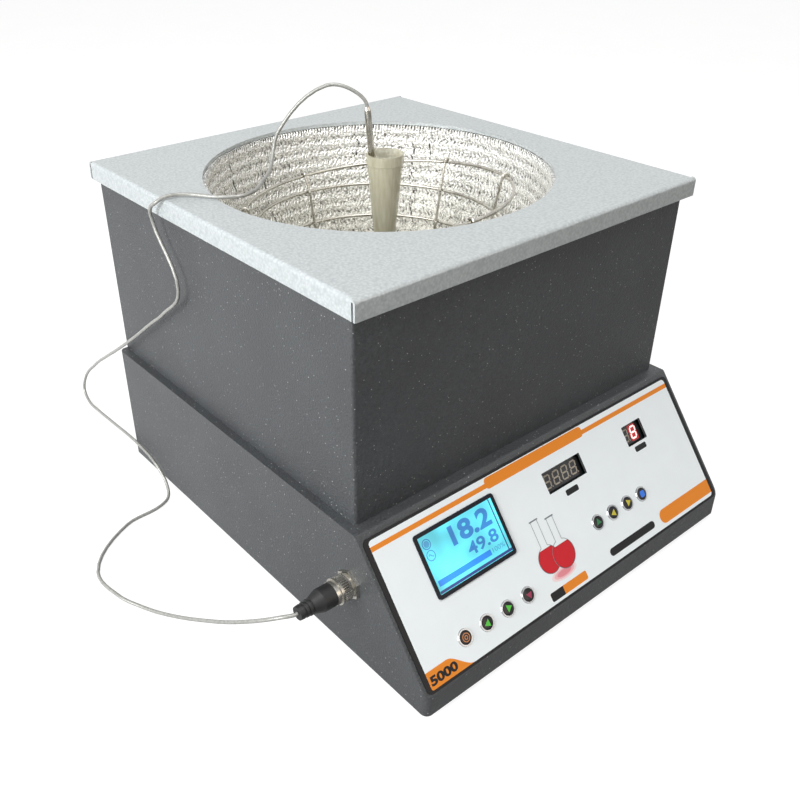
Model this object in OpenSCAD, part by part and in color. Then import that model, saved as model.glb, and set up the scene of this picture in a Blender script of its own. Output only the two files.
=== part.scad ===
// Laboratory heating mantle with a magnetic stirrer: a square casing round a knitted heating bowl,
// on a wider control base with a sloped panel. X runs across the front, +Y to the back, Z up.

/* [Upper casing] */
// Width of the casing's rim from the opening's edge to the casing's sides
casing_margin = 30; // [26:1:44]
// Clearance between the bowl's insulation and the heat shield under it
bowl_under = 3.8; // [0.6:0.2:50]
// Sheet thickness of the casing
casing_t = 1.2; // [0.8:0.1:2]
// Width of the casing's folded top and bottom flanges
casing_flange = 14; // [11:0.5:14]
// Outer bend radius of the casing's corners
casing_bend_r = 3; // [2.5:0.5:6]

/* [Lid] */
// Sheet thickness of the lid
lid_t = 2; // [1.5:0.1:3]
// Height of the lid's skirt
lid_skirt_h = 16; // [10:1:30]
// Gap between the casing and the side skirts
lid_side_gap = 2; // [1:0.5:6]
// Gap between the casing and the front and back skirts
lid_end_gap = 6; // [1:0.5:10]
// Outer bend radius of the lid's edges
lid_bend_r = 3; // [3:0.5:5]
// Slit left open where the skirts meet at each corner
corner_slit = 0.8; // [0.4:0.1:1.5]
// Diameter of the round opening
opening_d = 312; // [280:1:316]
// Distance of the opening's centre behind the lid's centre
opening_back = 6; // [0:1:8]
// Depth of the lip pressed down round the opening
opening_lip = 3.2; // [2.4:0.1:4]
// Diameter of the lid's fixing studs
stud_d = 5; // [4:0.5:6]

/* [Heating bowl] */
// How far the knitted bowl shows inside the opening's edge
bowl_show = 2.5; // [1:0.5:5]
// Height of the straight neck above the half sphere
bowl_neck = 12; // [9:1:18]
// Thickness of the knitted bowl
fabric_t = 4; // [3:0.5:6]
// Depth of a knitted row
knit_depth = 1.2; // [0.5:0.1:1.8]
// Spacing of the knitted rows
knit_pitch = 11; // [8:0.5:16]
// Radius of the level patch at the bottom of the bowl
bowl_floor_r = 18; // [16:1:24]
// Wire diameter of the heating element
element_d = 2.4; // [1.6:0.1:2.8]
// Number of element turns
element_turns = 12; // [8:1:16]
// Sheet thickness of the bowl shell
shell_t = 1.5; // [1:0.1:2]
// Thickness of the insulation
insulation_t = 12; // [8:1:14]
// Thickness of the carrier plate below the lid
carrier_t = 1.5; // [1:0.1:3]
// Thickness of the heat shield
shield_t = 1; // [0.6:0.1:2]

/* [Flask cage] */
// Radius of the cage's top ring
cage_r = 122; // [118:1:123]
// How much smaller each ring's radius is than the one above
cage_taper = 7; // [5:1:8]
// Diameter of the ring wire
ring_wire_d = 3; // [2:0.5:3.5]
// Diameter of the upright wires
upright_wire_d = 2.6; // [2:0.2:3]
// Depth of the top ring's centre below the lid
cage_top_depth = 27; // [26:1:30]
// Drop from the top ring to the middle one
cage_upper_gap = 26; // [24:1:30]
// Drop from the middle ring to the low one
cage_lower_gap = 31; // [24:1:34]
// Tilt of the top ring towards the back
cage_tilt = 5.5; // [0:0.5:6]
// Tilt of the top ring towards the left
cage_roll = 2; // [0:0.5:3]

/* [Probe and sleeve] */
// Outer diameter of the sleeve's mouth
sleeve_mouth_d = 34; // [28:1:40]
// Outer diameter of the sleeve's stem
sleeve_stem_d = 16; // [14:1:20]
// Wall of the sleeve
sleeve_wall = 1.6; // [1.2:0.1:1.8]
// Height of the sleeve's mouth above the lid
sleeve_above = 13; // [5:1:20]
// Height of the sleeve's collar
sleeve_collar_h = 9; // [5:1:15]
// Height of the sleeve's stem below its cone
sleeve_stem_h = 82; // [60:1:100]
// Diameter of the temperature probe
probe_d = 6; // [4:0.5:7]
// Diameter of the sensor lead
lead_d = 3.2; // [2.4:0.2:3.4]

/* [Base] */
// Height of the base from its bottom edge to the ledge
base_h = 125; // [115:1:150]
// Ledge left free at each side of the casing
ledge_side = 8; // [5:1:20]
// Ledge left free in front of the casing
ledge_front = 10; // [5:1:20]
// Forward run of the sloped front
slope_run = 83; // [75:1:92]
// Height of the upright lip below the slope
lip_h = 20; // [14:1:24]
// Sheet thickness of the base
base_t = 1.5; // [1:0.1:2]
// Radius of the base's upright corners
base_corner_r = 6; // [4:1:10]
// Radius of the bends along the ledge and the slope
base_bend_r = 3; // [2:0.5:5]
// Thickness of the bottom plate
plate_t = 1.5; // [1:0.1:2]
// Width of the base's bottom flanges
base_flange = 14; // [12:1:18]
// Radius of the hole below the bowl
stirrer_hole_r = 60; // [54:1:64]

/* [Feet and screws] */
// Diameter of a rubber foot
foot_d = 24; // [18:1:30]
// Height of a rubber foot
foot_h = 8; // [7:1:12]
// Distance of the feet from the base's sides
foot_inset = 34; // [28:1:60]
// Thread diameter of the assembly screws
screw_d = 4; // [3:0.5:4]
// Clearance between a screw and its hole
screw_gap = 0.25; // [0.15:0.05:0.3]

/* [Control panel] */
// Width of the panel overlay
panel_w = 382; // [370:1:384]
// Height of the panel overlay along the slope
panel_h = 127; // [123:1:127]
// Thickness of the panel overlay
panel_t = 0.8; // [0.5:0.1:1.2]
// Corner radius of the panel overlay
panel_r = 5; // [3:1:10]
// Distance of the overlay below the upper bend
panel_drop = 5; // [4:0.5:5.5]
// Width of the display frame
lcd_w = 88; // [80:1:90]
// Height of the display frame
lcd_h = 54; // [50:1:55]
// Width of the rim round the display's glass
lcd_rim = 3.5; // [3:0.5:5]
// Width of the four-digit display
led4_w = 49.5; // [48:0.1:52]
// Width of the two-digit display
led2_w = 27; // [24:0.1:28]
// Height of both digit displays
led_h = 19; // [17:0.1:21]
// Thickness of both digit displays
led_t = 8; // [7:0.1:9]
// Diameter of a key
key_d = 11; // [9:0.5:11.5]
// Outer diameter of the ring round a key
key_ring_d = 14.4; // [13.4:0.2:16]
// Height of a key above the overlay
key_rise = 1.6; // [1.2:0.1:2.5]
// Travel of a key
key_travel = 0.5; // [0.3:0.1:0.8]
// Distance of the circuit board behind the panel's face
board_depth = 12; // [11:0.5:14]
// Thickness of the circuit boards
board_t = 1.6; // [1.2:0.1:2]

/* [Sensor plug] */
// Distance of the plug's axis in front of the lid's centre
plug_front = 189; // [170:1:200]
// Height of the plug's axis above the base's bottom edge
plug_up = 74; // [40:1:85]
// Diameter of the socket's thread
socket_d = 19.6; // [16:0.1:20]
// Size across the flats of the socket nut
nut_af = 23; // [22:0.5:26]
// Outer diameter of the coupling ring
ring_d = 22; // [21:0.5:26]
// Number of grooves in the knurl
knurl_count = 36; // [24:1:48]
// Diameter of the rubber boot
boot_d = 19.4; // [17:0.2:20]
// Diameter of the boot's neck where the lead leaves it
boot_neck_d = 11.4; // [9:0.2:13]

/* [Stirrer] */
// Diameter of the stirrer motor
motor_d = 62; // [50:1:70]
// Height of the stirrer motor
motor_h = 56; // [40:1:60]
// Diameter of the magnet carrier
carrier_d = 80; // [60:1:88]
// Thickness of the magnet carrier
carrier_h = 8; // [7:0.5:9]
// Gap between the magnet carrier and the bowl shell
magnet_gap = 3; // [2:0.5:4]
// Diameter of a stirrer magnet
magnet_d = 16; // [12:1:20]
// Diameter of the motor shaft
shaft_d = 6; // [5:0.5:8]

/* [Rear panel] */
// Distance of the mains inlet from the centre
inlet_x = 120; // [60:1:140]
// Distance of the power switch from the centre
switch_x = 60; // [20:1:80]
// Height of the inlet and the switch above the base's bottom edge
rear_up = 45; // [35:1:60]
// Number of vent slots in the rear wall
vent_count = 8; // [4:1:10]
// Spacing of the vent slots
vent_pitch = 10; // [8:0.5:12]
// Tilt of the rocker to each side
rocker_tilt = 9; // [6:1:10]

/* [Hidden] */
$fn = 64;
snug = 0.2;      // clearance of a part in its seat
loose = 0.3;     // clearance of soft and moving parts
past = 2;        // overrun of a cutting tool

// Overall places
casing_w = opening_d + 2*casing_margin;
lid_w = casing_w + 2*(lid_t + lid_side_gap);
lid_d = casing_w + 2*(lid_t + lid_end_gap);
base_w = casing_w + 2*ledge_side;
slope_rise = base_h - lip_h;
slope_len = sqrt(pow(slope_run, 2) + pow(slope_rise, 2));
slope_tilt = atan2(slope_rise, slope_run);
back_y = casing_w/2;
ledge_y = -(casing_w/2 + ledge_front);
front_y = ledge_y - slope_run;
centre_y = (-front_y - lid_d/2)/2;
bowl_y = opening_back;

// Radii of the bowl's layers
opening_r = opening_d/2;
fabric_r = opening_r - bowl_show;
fabric_out_r = fabric_r + fabric_t;
shell_in_r = fabric_out_r + element_d + 2*snug;
shell_out_r = shell_in_r + shell_t;
insulation_in_r = shell_out_r + snug;
insulation_out_r = insulation_in_r + insulation_t;
flange_r = casing_w/2 - casing_flange - opening_back - 1;
magnet_hole_r = carrier_d/2 + 6;

// Levels from the bench up; the upper casing is as tall as the bowl needs
z_base = foot_h;
z_ledge = z_base + base_h;
z_shield = z_ledge + casing_t;
casing_rise = bowl_neck + insulation_out_r + bowl_under + shield_t + casing_t;
z_lid = z_ledge + casing_rise;
z_under = z_lid - lid_t;
z_carrier = z_under - casing_t - carrier_t;
z_sphere = z_lid - bowl_neck;
fabric_top = z_under - (opening_lip - lid_t) - loose;
bowl_floor_z = z_sphere - sqrt(pow(fabric_r, 2) - pow(bowl_floor_r, 2));

// Casing and lid fixings
casing_hole = casing_w/2 - casing_t - (casing_flange - casing_t)/2;
casing_screw_spots = [for (a = [0:90:270], s = [-1, 1]) [a, s*casing_w/4]];
stud_spot = casing_w/2 - casing_flange/2 - casing_t/2;
stud_side = casing_w/4;

// Screw and nut shapes
screw_head_d = 2*screw_d;
screw_head_h = 0.6*screw_d;
hole_d = screw_d + 2*screw_gap;
nut_w = 1.75*screw_d;
nut_h = 0.8*screw_d;

// Feet and bottom plate
foot_x = base_w/2 - foot_inset;
foot_back = back_y - foot_inset;
foot_front = front_y + foot_inset;
foot_spots = [for (x = [-foot_x, foot_x], y = [foot_front, foot_back]) [x, y]];
foot_recess = 4;
flange_z = z_base + plate_t + snug;
plate_screw_x = base_w/2 - base_t - base_flange/2;
plate_screw_spots = [for (x = [-1, 1], y = [front_y + 60, (front_y + back_y)/2, back_y - 60])
    [x*plate_screw_x, y]];
plate_vent_w = 4;
plate_vent_l = 60;
plate_vent_pitch = 12;
plate_vent_count = 9;
plate_vent_y = -150;

// Panel places: across from the centre, and down from the upper bend of the slope
lcd_at = [-105.3, 47.6];
led4_at = [21.4, 38.2];
led2_at = [121, 38.2];
lcd_body = [lcd_w - 12, lcd_h - 12];
lcd_glass = [lcd_w - 2*lcd_rim, lcd_h - 2*lcd_rim];
lcd_deep = 7;
lcd_raise = 1.2;
lcd_glass_t = 0.8;
left_keys_x = -140.8;
left_keys_step = 24.2;
left_keys_down = 109.5;
right_keys_x = 34.5;
right_keys_step = 21;
right_keys_down = 90.7;
key_spots = [for (i = [0:3]) [left_keys_x + i*left_keys_step, left_keys_down],
             for (i = [0:3]) [right_keys_x + i*right_keys_step, right_keys_down]];
key_sleeve_d = key_ring_d - 1.8;
key_hole_d = key_sleeve_d + 2*snug;
key_ring_h = 0.8;
key_flange_d = key_sleeve_d + 0.8;
key_flange_t = 1;
key_stem_d = 3.5;
switch_w = 6;
switch_h = 4;
face = panel_t;
sheet_back = -base_t;
board_face = -board_depth;
ring_back = sheet_back - 1.5;
key_stem_end = board_face + 1.2 + key_travel;
spacer_d = 6;
board_w = 350;
board_margin = 8;
spacer_edge = 7;
spacer_x = [board_w/2 - spacer_edge, board_w/7];
spacer_spots = [for (s = [-1, 1], x = spacer_x, d = [panel_drop + 11, slope_len - 20]) [s*x, d]];

// Sensor plug, measured outward from the left wall
plug_y = -plug_front;
plug_z = z_base + plug_up;
wall_x = base_w/2;
nut_t = 3.2;
socket_out = 12;
socket_flange_d = socket_d + 5;
socket_bore_d = socket_d - 3;
ring_from = 5.5;
ring_to = 15;
ring_lip = 1.6;
body_to = 19;
body_pin_d = socket_bore_d - 2*snug;
boot_shoulder = 30;
boot_taper = 38;
boot_end = 51;
boot_throat_d = 14;
boot_grooves = 3;

// Stirrer stack
shell_bottom = z_sphere - shell_out_r;
carrier_top = shell_bottom - magnet_gap;
motor_plate_z = z_ledge - base_t - 32;
motor_plate_t = 2;
motor_top = motor_plate_z - motor_plate_t;
motor_spot = stirrer_hole_r + 8;
motor_plate_w = 2*motor_spot/sqrt(2) + 20;
motor_boss_d = 20;
motor_boss_h = 4;
shaft_depth = 20;
hub_d = 18;
hub_h = 12;
magnet_h = 5;
magnet_spot = carrier_d/2 - magnet_d/2 - 4;
run_gap = 0.05;

// Rear panel
inlet_w = 27;
inlet_h = 20;
inlet_depth = 24;
inlet_ear_w = 50;
inlet_t = 3;
inlet_screw_x = 20;
inlet_cavity_w = 24.4;
inlet_cavity_h = 16.4;
inlet_cavity_deep = 18;
pin_spots = [[-7, -1], [0, 3], [7, -1]];
switch_bezel_w = 25.5;
switch_bezel_h = 31;
switch_body_w = 22;
switch_body_h = 27.4;
switch_depth = 22;
switch_t = 2;
rocker_w = 17;
rocker_r = 11.4;
rocker_pivot = -3;
rocker_face = 5;
rocker_pin_d = 3;
rocker_pin_l = 1.2;
rear_z = z_base + rear_up;
vent_x = -90;
vent_w = 4;
vent_l = 50;

// Power electronics
power_w = 110;
power_l = 90;
power_at = [110, 70];
power_stand = 6;
transformer_at = [-110, 70];
core_w = 56;
core_d = 22;
core_h = 48;
coil_w = 38;
coil_d = 40;
coil_h = 32;
sink_w = 50;
sink_fins = 7;

// ---------------------------------------------------------------- helpers

// Points of an arc in a plane
function arc(cx, cy, r, a0, a1, n) =
    [for (i = [0:n]) let (a = a0 + (a1 - a0)*i/n) [cx + r*cos(a), cy + r*sin(a)]];

// Rounds the corner b between a and c of an outline
function bend(a, b, c, r, n = 6) =
    let (u = (a - b)/norm(a - b), v = (c - b)/norm(c - b),
         half = acos(u*v)/2, m = (u + v)/norm(u + v), o = b + m*r/sin(half),
         p = b + u*r/tan(half), q = b + v*r/tan(half),
         a0 = atan2(p[1] - o[1], p[0] - o[0]), a1 = atan2(q[1] - o[1], q[0] - o[0]),
         turn = a1 - a0 > 180 ? a1 - a0 - 360 : a1 - a0 < -180 ? a1 - a0 + 360 : a1 - a0)
    arc(o[0], o[1], r, a0, a0 + turn, n);

// A rounded rectangle about the origin
module round_rect(w, h, r) {
    square([w - 2*r, h], center = true);
    square([w, h - 2*r], center = true);
    for (x = [-1, 1], y = [-1, 1]) translate([x*(w/2 - r), y*(h/2 - r)]) circle(r);
}

module block(w, d, h) {
    translate([-w/2, -d/2, 0]) cube([w, d, h]);
}

// A slot with round ends, along X
module slot(l, w) {
    square([l - w, w], center = true);
    for (s = [-1, 1]) translate([s*(l - w)/2, 0]) circle(w/2);
}

// Places a shape at the cabinet's centre, which lies behind the origin
module at_cabinet(x = 0, y = 0, z = 0) {
    translate([x, centre_y + y, z]) children();
}

// Places a shape on the slope: X across, Y up the slope, Z out of it
module on_slope(x = 0, down = 0, out = 0) {
    at_cabinet(0, ledge_y, z_ledge) rotate([slope_tilt, 0, 0]) translate([x, -down, out]) children();
}

// Places a shape on the left wall: Z out of the wall
module on_left_wall(out = 0) {
    at_cabinet(-wall_x, plug_y, plug_z) rotate([0, -90, 0]) translate([0, 0, out]) children();
}

// Places a shape on the rear wall: X across, Y up, Z out of the wall
module on_rear(x, out = 0) {
    at_cabinet(x, back_y, rear_z) rotate([90, 0, 180]) translate([0, 0, out]) children();
}

module pan_screw(l) {
    cylinder(d = screw_d, h = l);
    translate([0, 0, -screw_head_h]) cylinder(d1 = screw_head_d - 1, d2 = screw_head_d, h = screw_head_h);
}

module hex_nut(w, h, bore) {
    difference() {
        cylinder(d = w/cos(30), h = h, $fn = 6);
        translate([0, 0, -past]) cylinder(d = bore, h = h + 2*past);
    }
}

// ---------------------------------------------------------------- base

// Side outline of the base, grown inward by t
function base_outline(t, low) = let (
    top = base_h - t,
    upper = [ledge_y + t*(slope_len - slope_run)/slope_rise, top],
    lower = [front_y + t, lip_h - t*(slope_len - slope_rise)/slope_run],
    r = base_bend_r - min(t, base_bend_r - 0.5))
    concat([[back_y - t, low]], [[back_y - t, top]],
        bend([back_y, top], upper, lower, r),
        bend(upper, lower, [front_y + t, low], r),
        [[front_y + t, low]]);

module base_prism(t, low) {
    w = base_w - 2*t;
    translate([-w/2, 0, z_base]) rotate([90, 0, 90]) linear_extrude(w) polygon(base_outline(t, low));
}

// Upright walls with rounded corners
module base_plan(t, from, to) {
    depth = back_y - front_y - 2*t;
    translate([0, (back_y + front_y)/2, from]) linear_extrude(to - from)
        round_rect(base_w - 2*t, depth, base_corner_r - t);
}

module panel_cuts(gap) {
    on_slope(lcd_at[0], lcd_at[1], -past - base_t)
        linear_extrude(4*past) square([lcd_body[0] + 2*gap, lcd_body[1] + 2*gap], center = true);
    on_slope(led4_at[0], led4_at[1], -past - base_t)
        linear_extrude(4*past) square([led4_w + 2*gap, led_h + 2*gap], center = true);
    on_slope(led2_at[0], led2_at[1], -past - base_t)
        linear_extrude(4*past) square([led2_w + 2*gap, led_h + 2*gap], center = true);
    for (k = key_spots) on_slope(k[0], k[1], -past - base_t) cylinder(d = key_hole_d, h = 4*past);
}

module base_housing() {
    color("#4a4d50") difference() {
        at_cabinet() difference() {
            intersection() {
                base_prism(0, 0);
                base_plan(0, z_base, z_ledge + past);
            }
            difference() {
                intersection() {
                    base_prism(base_t, -past);
                    base_plan(base_t, z_base - past, z_ledge);
                }
                for (s = [-1, 1]) translate([s*(base_w/2 - base_flange/2), (back_y + front_y)/2, flange_z])
                    block(base_flange, back_y - front_y, base_t);
            }
            translate([0, bowl_y, z_ledge - base_t - past]) cylinder(r = stirrer_hole_r, h = base_t + 2*past);
            for (s = casing_screw_spots) rotate(s[0]) translate([s[1], casing_hole, z_ledge - base_t - past])
                cylinder(d = hole_d, h = base_t + 2*past);
            for (a = [45:90:315]) translate([0, bowl_y, z_ledge - base_t - past]) rotate(a)
                translate([motor_spot, 0, 0]) cylinder(d = hole_d, h = base_t + 2*past);
            for (p = plate_screw_spots) translate([p[0], p[1], flange_z - past])
                cylinder(d = screw_d - 1 + 2*screw_gap, h = base_t + 2*past);
        }
        panel_cuts(snug);
        on_left_wall(-base_t - past) cylinder(d = socket_d + 2*snug, h = base_t + 2*past);
        on_rear(inlet_x, -base_t - past) linear_extrude(base_t + 2*past)
            square([inlet_w + 2*snug, inlet_h + 2*snug], center = true);
        for (s = [-1, 1]) on_rear(inlet_x, -base_t - past) translate([s*inlet_screw_x, 0, 0])
            cylinder(d = screw_d - 1 + 2*screw_gap, h = base_t + 2*past);
        on_rear(switch_x, -base_t - past) linear_extrude(base_t + 2*past)
            square([switch_body_w + 2*snug, switch_body_h + 2*snug], center = true);
        for (i = [0:vent_count - 1]) on_rear(vent_x, -base_t - past)
            translate([0, (i - (vent_count - 1)/2)*vent_pitch, 0]) linear_extrude(base_t + 2*past)
                slot(vent_l, vent_w);
    }
}

module base_plate() {
    inner = base_t + snug;
    color("#5a5d60") at_cabinet() difference() {
        base_plan(inner, z_base, z_base + plate_t);
        for (p = foot_spots) translate([p[0], p[1], z_base - past]) cylinder(d = hole_d, h = plate_t + 2*past);
        for (p = plate_screw_spots) translate([p[0], p[1], z_base - past])
            cylinder(d = screw_d - 1 + 2*screw_gap, h = plate_t + 2*past);
        for (i = [0:plate_vent_count - 1], s = [-1, 1])
            translate([s*plate_vent_l, plate_vent_y + i*plate_vent_pitch, z_base - past])
                linear_extrude(plate_t + 2*past) slot(plate_vent_l, plate_vent_w);
    }
}

module plate_screws() {
    color("silver") for (p = plate_screw_spots) at_cabinet(p[0], p[1], z_base) {
        translate([0, 0, -1.8]) cylinder(d1 = 4.6, d2 = 6, h = 1.8);
        cylinder(d = screw_d - 1, h = plate_t + snug + base_t + 2);
    }
}

module rubber_feet() {
    color("#1c1c1c") for (p = foot_spots) at_cabinet(p[0], p[1], 0) difference() {
        cylinder(d1 = foot_d - 3, d2 = foot_d, h = foot_h);
        translate([0, 0, -past]) cylinder(d = screw_head_d + 2, h = foot_recess + past);
        translate([0, 0, -past]) cylinder(d = hole_d, h = foot_h + 2*past);
    }
}

module foot_screws() {
    l = foot_h - foot_recess + plate_t + nut_h + 1;
    color("silver") for (p = foot_spots) at_cabinet(p[0], p[1], foot_recess) pan_screw(l);
}

module foot_nuts() {
    color("silver") for (p = foot_spots) at_cabinet(p[0], p[1], z_base + plate_t)
        hex_nut(nut_w, nut_h, screw_d + 2*run_gap);
}

// ---------------------------------------------------------------- casing and lid

module casing_flange_ring(z) {
    translate([0, 0, z]) linear_extrude(casing_t) difference() {
        round_rect(casing_w, casing_w, casing_bend_r);
        square(casing_w - 2*casing_flange, center = true);
    }
}

module upper_casing() {
    color("#4a4d50") at_cabinet() difference() {
        union() {
            translate([0, 0, z_ledge]) linear_extrude(z_under - z_ledge) difference() {
                round_rect(casing_w, casing_w, casing_bend_r);
                round_rect(casing_w - 2*casing_t, casing_w - 2*casing_t, casing_bend_r - casing_t);
            }
            casing_flange_ring(z_ledge);
            casing_flange_ring(z_under - casing_t);
        }
        for (s = casing_screw_spots) rotate(s[0]) translate([s[1], casing_hole, z_ledge - past])
            cylinder(d = hole_d, h = casing_t + 2*past);
        for (a = [0:90:270], s = [-1, 1]) rotate(a) translate([s*stud_side, stud_spot, z_under - casing_t - past])
            cylinder(d = stud_d + 2*screw_gap, h = casing_t + 2*past);
    }
}

module casing_screws() {
    l = casing_t + base_t + nut_h + 1;
    color("silver") at_cabinet() for (s = casing_screw_spots) rotate(s[0])
        translate([s[1], casing_hole, z_ledge + casing_t]) mirror([0, 0, 1]) pan_screw(l);
}

module casing_nuts() {
    color("silver") at_cabinet() for (s = casing_screw_spots) rotate(s[0])
        translate([s[1], casing_hole, z_ledge - base_t - nut_h]) hex_nut(nut_w, nut_h, screw_d + 2*run_gap);
}

// Section of a skirt with its bend, from the flat top to the skirt's lower edge
function skirt_section(reach) = concat(
    [[reach - lid_bend_r - 1, 0]], arc(reach - lid_bend_r, -lid_bend_r, lid_bend_r, 90, 0, 6),
    [[reach, -lid_skirt_h], [reach - lid_t, -lid_skirt_h]],
    arc(reach - lid_bend_r, -lid_bend_r, lid_bend_r - lid_t, 0, 90, 4),
    [[reach - lid_bend_r - 1, -lid_t]]);

module side_skirt(reach, l) {
    translate([0, l/2, z_lid]) rotate([90, 0, 0]) linear_extrude(l) polygon(skirt_section(reach));
}

module top_plate() {
    inset = lid_bend_r + corner_slit;
    color("#c4cccc") at_cabinet() union() {
        difference() {
            translate([-lid_w/2 + lid_bend_r, -lid_d/2 + lid_bend_r, z_under])
                cube([lid_w - 2*lid_bend_r, lid_d - 2*lid_bend_r, lid_t]);
            translate([0, bowl_y, z_under - past]) cylinder(r = opening_r, h = lid_t + 2*past, $fn = 128);
        }
        for (s = [0, 180]) rotate(s) side_skirt(lid_w/2, lid_d - 2*inset);
        for (s = [90, 270]) rotate(s) side_skirt(lid_d/2, lid_w);
        translate([0, bowl_y, z_lid - opening_lip]) difference() {
            cylinder(r = opening_r + lid_t, h = opening_lip - lid_t/2, $fn = 128);
            translate([0, 0, -past]) cylinder(r = opening_r, h = opening_lip + 2*past, $fn = 128);
        }
        for (a = [0:90:270], s = [-1, 1]) rotate(a)
            translate([s*stud_side, stud_spot, z_carrier - nut_h - 2])
                cylinder(d = stud_d, h = z_under - z_carrier + nut_h + 2.5);
    }
}

module lid_nuts() {
    color("silver") at_cabinet() for (a = [0:90:270], s = [-1, 1]) rotate(a)
        translate([s*stud_side, stud_spot, z_carrier - nut_h]) hex_nut(1.6*stud_d, nut_h, stud_d + 2*run_gap);
}

module carrier_plate() {
    w = casing_w - 2*casing_t - 2*snug;
    color("#9aa0a3") at_cabinet() translate([0, 0, z_carrier]) linear_extrude(carrier_t) difference() {
        round_rect(w, w, casing_bend_r);
        translate([0, bowl_y]) circle(shell_out_r + snug, $fn = 128);
        for (a = [0:90:270], s = [-1, 1]) rotate(a) translate([s*stud_side, stud_spot])
            circle(d = stud_d + 2*screw_gap);
    }
}

// ---------------------------------------------------------------- heating bowl

// Half section between two radii, open at the top
module bowl_section(r_in, r_out, top, hole = 0) {
    a_in = hole > 0 ? -acos(hole/r_in) : -90;
    a_out = hole > 0 ? -acos(hole/r_out) : -90;
    polygon(concat([[r_in, top - z_sphere]], arc(0, 0, r_in, 0, a_in, 40),
        arc(0, 0, r_out, a_out, 0, 40), [[r_out, top - z_sphere]]));
}

module bowl_shell() {
    color("#b4b8ba") at_cabinet(0, bowl_y, z_sphere) rotate_extrude($fn = 128) union() {
        bowl_section(shell_in_r, shell_out_r, z_carrier + carrier_t + casing_t - snug);
        translate([shell_in_r + 0.5, z_carrier + carrier_t - z_sphere])
            square([flange_r - shell_in_r - 0.5, casing_t - snug]);
    }
}

// Turns of resistance wire between the knitted bowl and its shell
module heating_element() {
    mid = (fabric_out_r + shell_in_r)/2;
    color("#7c6a58") at_cabinet(0, bowl_y, z_sphere) for (i = [0:element_turns - 1]) {
        a = 6 + 72*i/(element_turns - 1);
        rotate_extrude($fn = 96) translate([mid*cos(a), -mid*sin(a)]) circle(d = element_d, $fn = 16);
    }
}

// Inner face of the knitted bowl: rows that stand inward, down the neck and round the half sphere
knit_neck = fabric_top - z_sphere;
knit_sweep = knit_neck + fabric_r*acos(bowl_floor_r/fabric_r)*PI/180;
knit_rows = floor(knit_sweep/knit_pitch);
row_points = 6;

function knit_r(s) = fabric_r - knit_depth*pow(sin(180*s*knit_rows/knit_sweep), 2);

function knit_face() = [for (i = [0:knit_rows*row_points]) let (
    s = i*knit_sweep/(knit_rows*row_points), r = knit_r(s), a = (s - knit_neck)/fabric_r*180/PI)
    s < knit_neck ? [r, knit_neck - s] : [r*cos(a), -r*sin(a)]];

module heating_fabric() {
    color("#cfccc0") at_cabinet(0, bowl_y, z_sphere) rotate_extrude($fn = 128)
        polygon(concat(knit_face(), [[0, bowl_floor_z - z_sphere]],
            arc(0, 0, fabric_out_r, -90, 0, 40), [[fabric_out_r, knit_neck]]));
}

module insulation() {
    foot_r = 100;
    foot_z = z_shield + shield_t + snug - z_sphere;
    color("#d9cfa8") at_cabinet(0, bowl_y, z_sphere) rotate_extrude($fn = 128) difference() {
        union() {
            bowl_section(insulation_in_r, insulation_out_r, z_carrier - loose, magnet_hole_r);
            translate([magnet_hole_r, foot_z])
                square([foot_r - magnet_hole_r, -foot_z - sqrt(pow(insulation_out_r, 2) - pow(foot_r, 2))]);
        }
        circle(insulation_in_r, $fn = 160);
    }
}

module heat_shield() {
    color("#c8ccce") at_cabinet(0, 0, z_shield) linear_extrude(shield_t) difference() {
        square(2*(casing_hole - screw_head_d/2) - 1, center = true);
        translate([0, bowl_y]) circle(magnet_hole_r + 2);
    }
}

// ---------------------------------------------------------------- flask cage, sleeve and probe

upright_angles = [-27, 15.5, 88, 145, 205, 268];
ring_r = [cage_r, cage_r - cage_taper, cage_r - 2*cage_taper];
ring_z = [for (drop = [0, cage_upper_gap, cage_upper_gap + cage_lower_gap]) z_lid - cage_top_depth - drop];
ring_turn = [-cage_tilt, -cage_roll, 0];
bead_d = upright_wire_d + 0.7;
weld = (ring_wire_d + bead_d)/2 + run_gap;
hook_turn = 200;

// How steeply the top ring's plane rises towards an angle
function ring_rise(a) = (sin(cage_roll)*cos(cage_tilt)*cos(a) - sin(cage_tilt)*sin(a))/(cos(cage_tilt)*cos(cage_roll));

// Radius and height of the top ring's wire at an angle
function top_wire(a) = let (r = cage_r/sqrt(1 + pow(ring_rise(a), 2))) [r, ring_z[0] + r*ring_rise(a)];

// Lean of an upright between the top ring and the middle one, and below that
function upper_lean(a) = atan2(cage_taper, top_wire(a)[1] - ring_z[1]);
lower_lean = atan2(cage_taper, cage_lower_gap);

// The wire's foot stands on the knitted row below it
foot_line = [-sin(lower_lean), -cos(lower_lean)];
foot_from = [ring_r[2] - weld/cos(lower_lean), ring_z[2] - z_sphere];
foot_gap = bead_d/2 + 1.5*loose;
function foot_at(reach) = let (along = foot_from*foot_line)
    foot_from + foot_line*(sqrt(pow(along, 2) - foot_from*foot_from + pow(reach, 2)) - along);
foot_near = foot_at(fabric_r - foot_gap);
foot_row = knit_neck + fabric_r*atan2(-foot_near[1], foot_near[0])*PI/180;
foot = foot_at(knit_r(foot_row) - foot_gap);

// Radius and height of an upright's bends, from its hook down to its foot
function upright_bends(a) = let (lean = upper_lean(a)) [
    top_wire(a) + weld*[-cos(lean), sin(lean)],
    [ring_r[1] - weld/cos(lean), ring_z[1]],
    [foot_from[0], ring_z[2]],
    [foot[0], foot[1] + z_sphere]];

module cage_rings() {
    color("#d0d2d2") at_cabinet(0, bowl_y) for (i = [0:2])
        translate([0, 0, ring_z[i]]) rotate(i == 0 ? ring_turn : 0) rotate_extrude($fn = 96)
            translate([ring_r[i], 0]) circle(d = ring_wire_d, $fn = 16);
}

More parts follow.
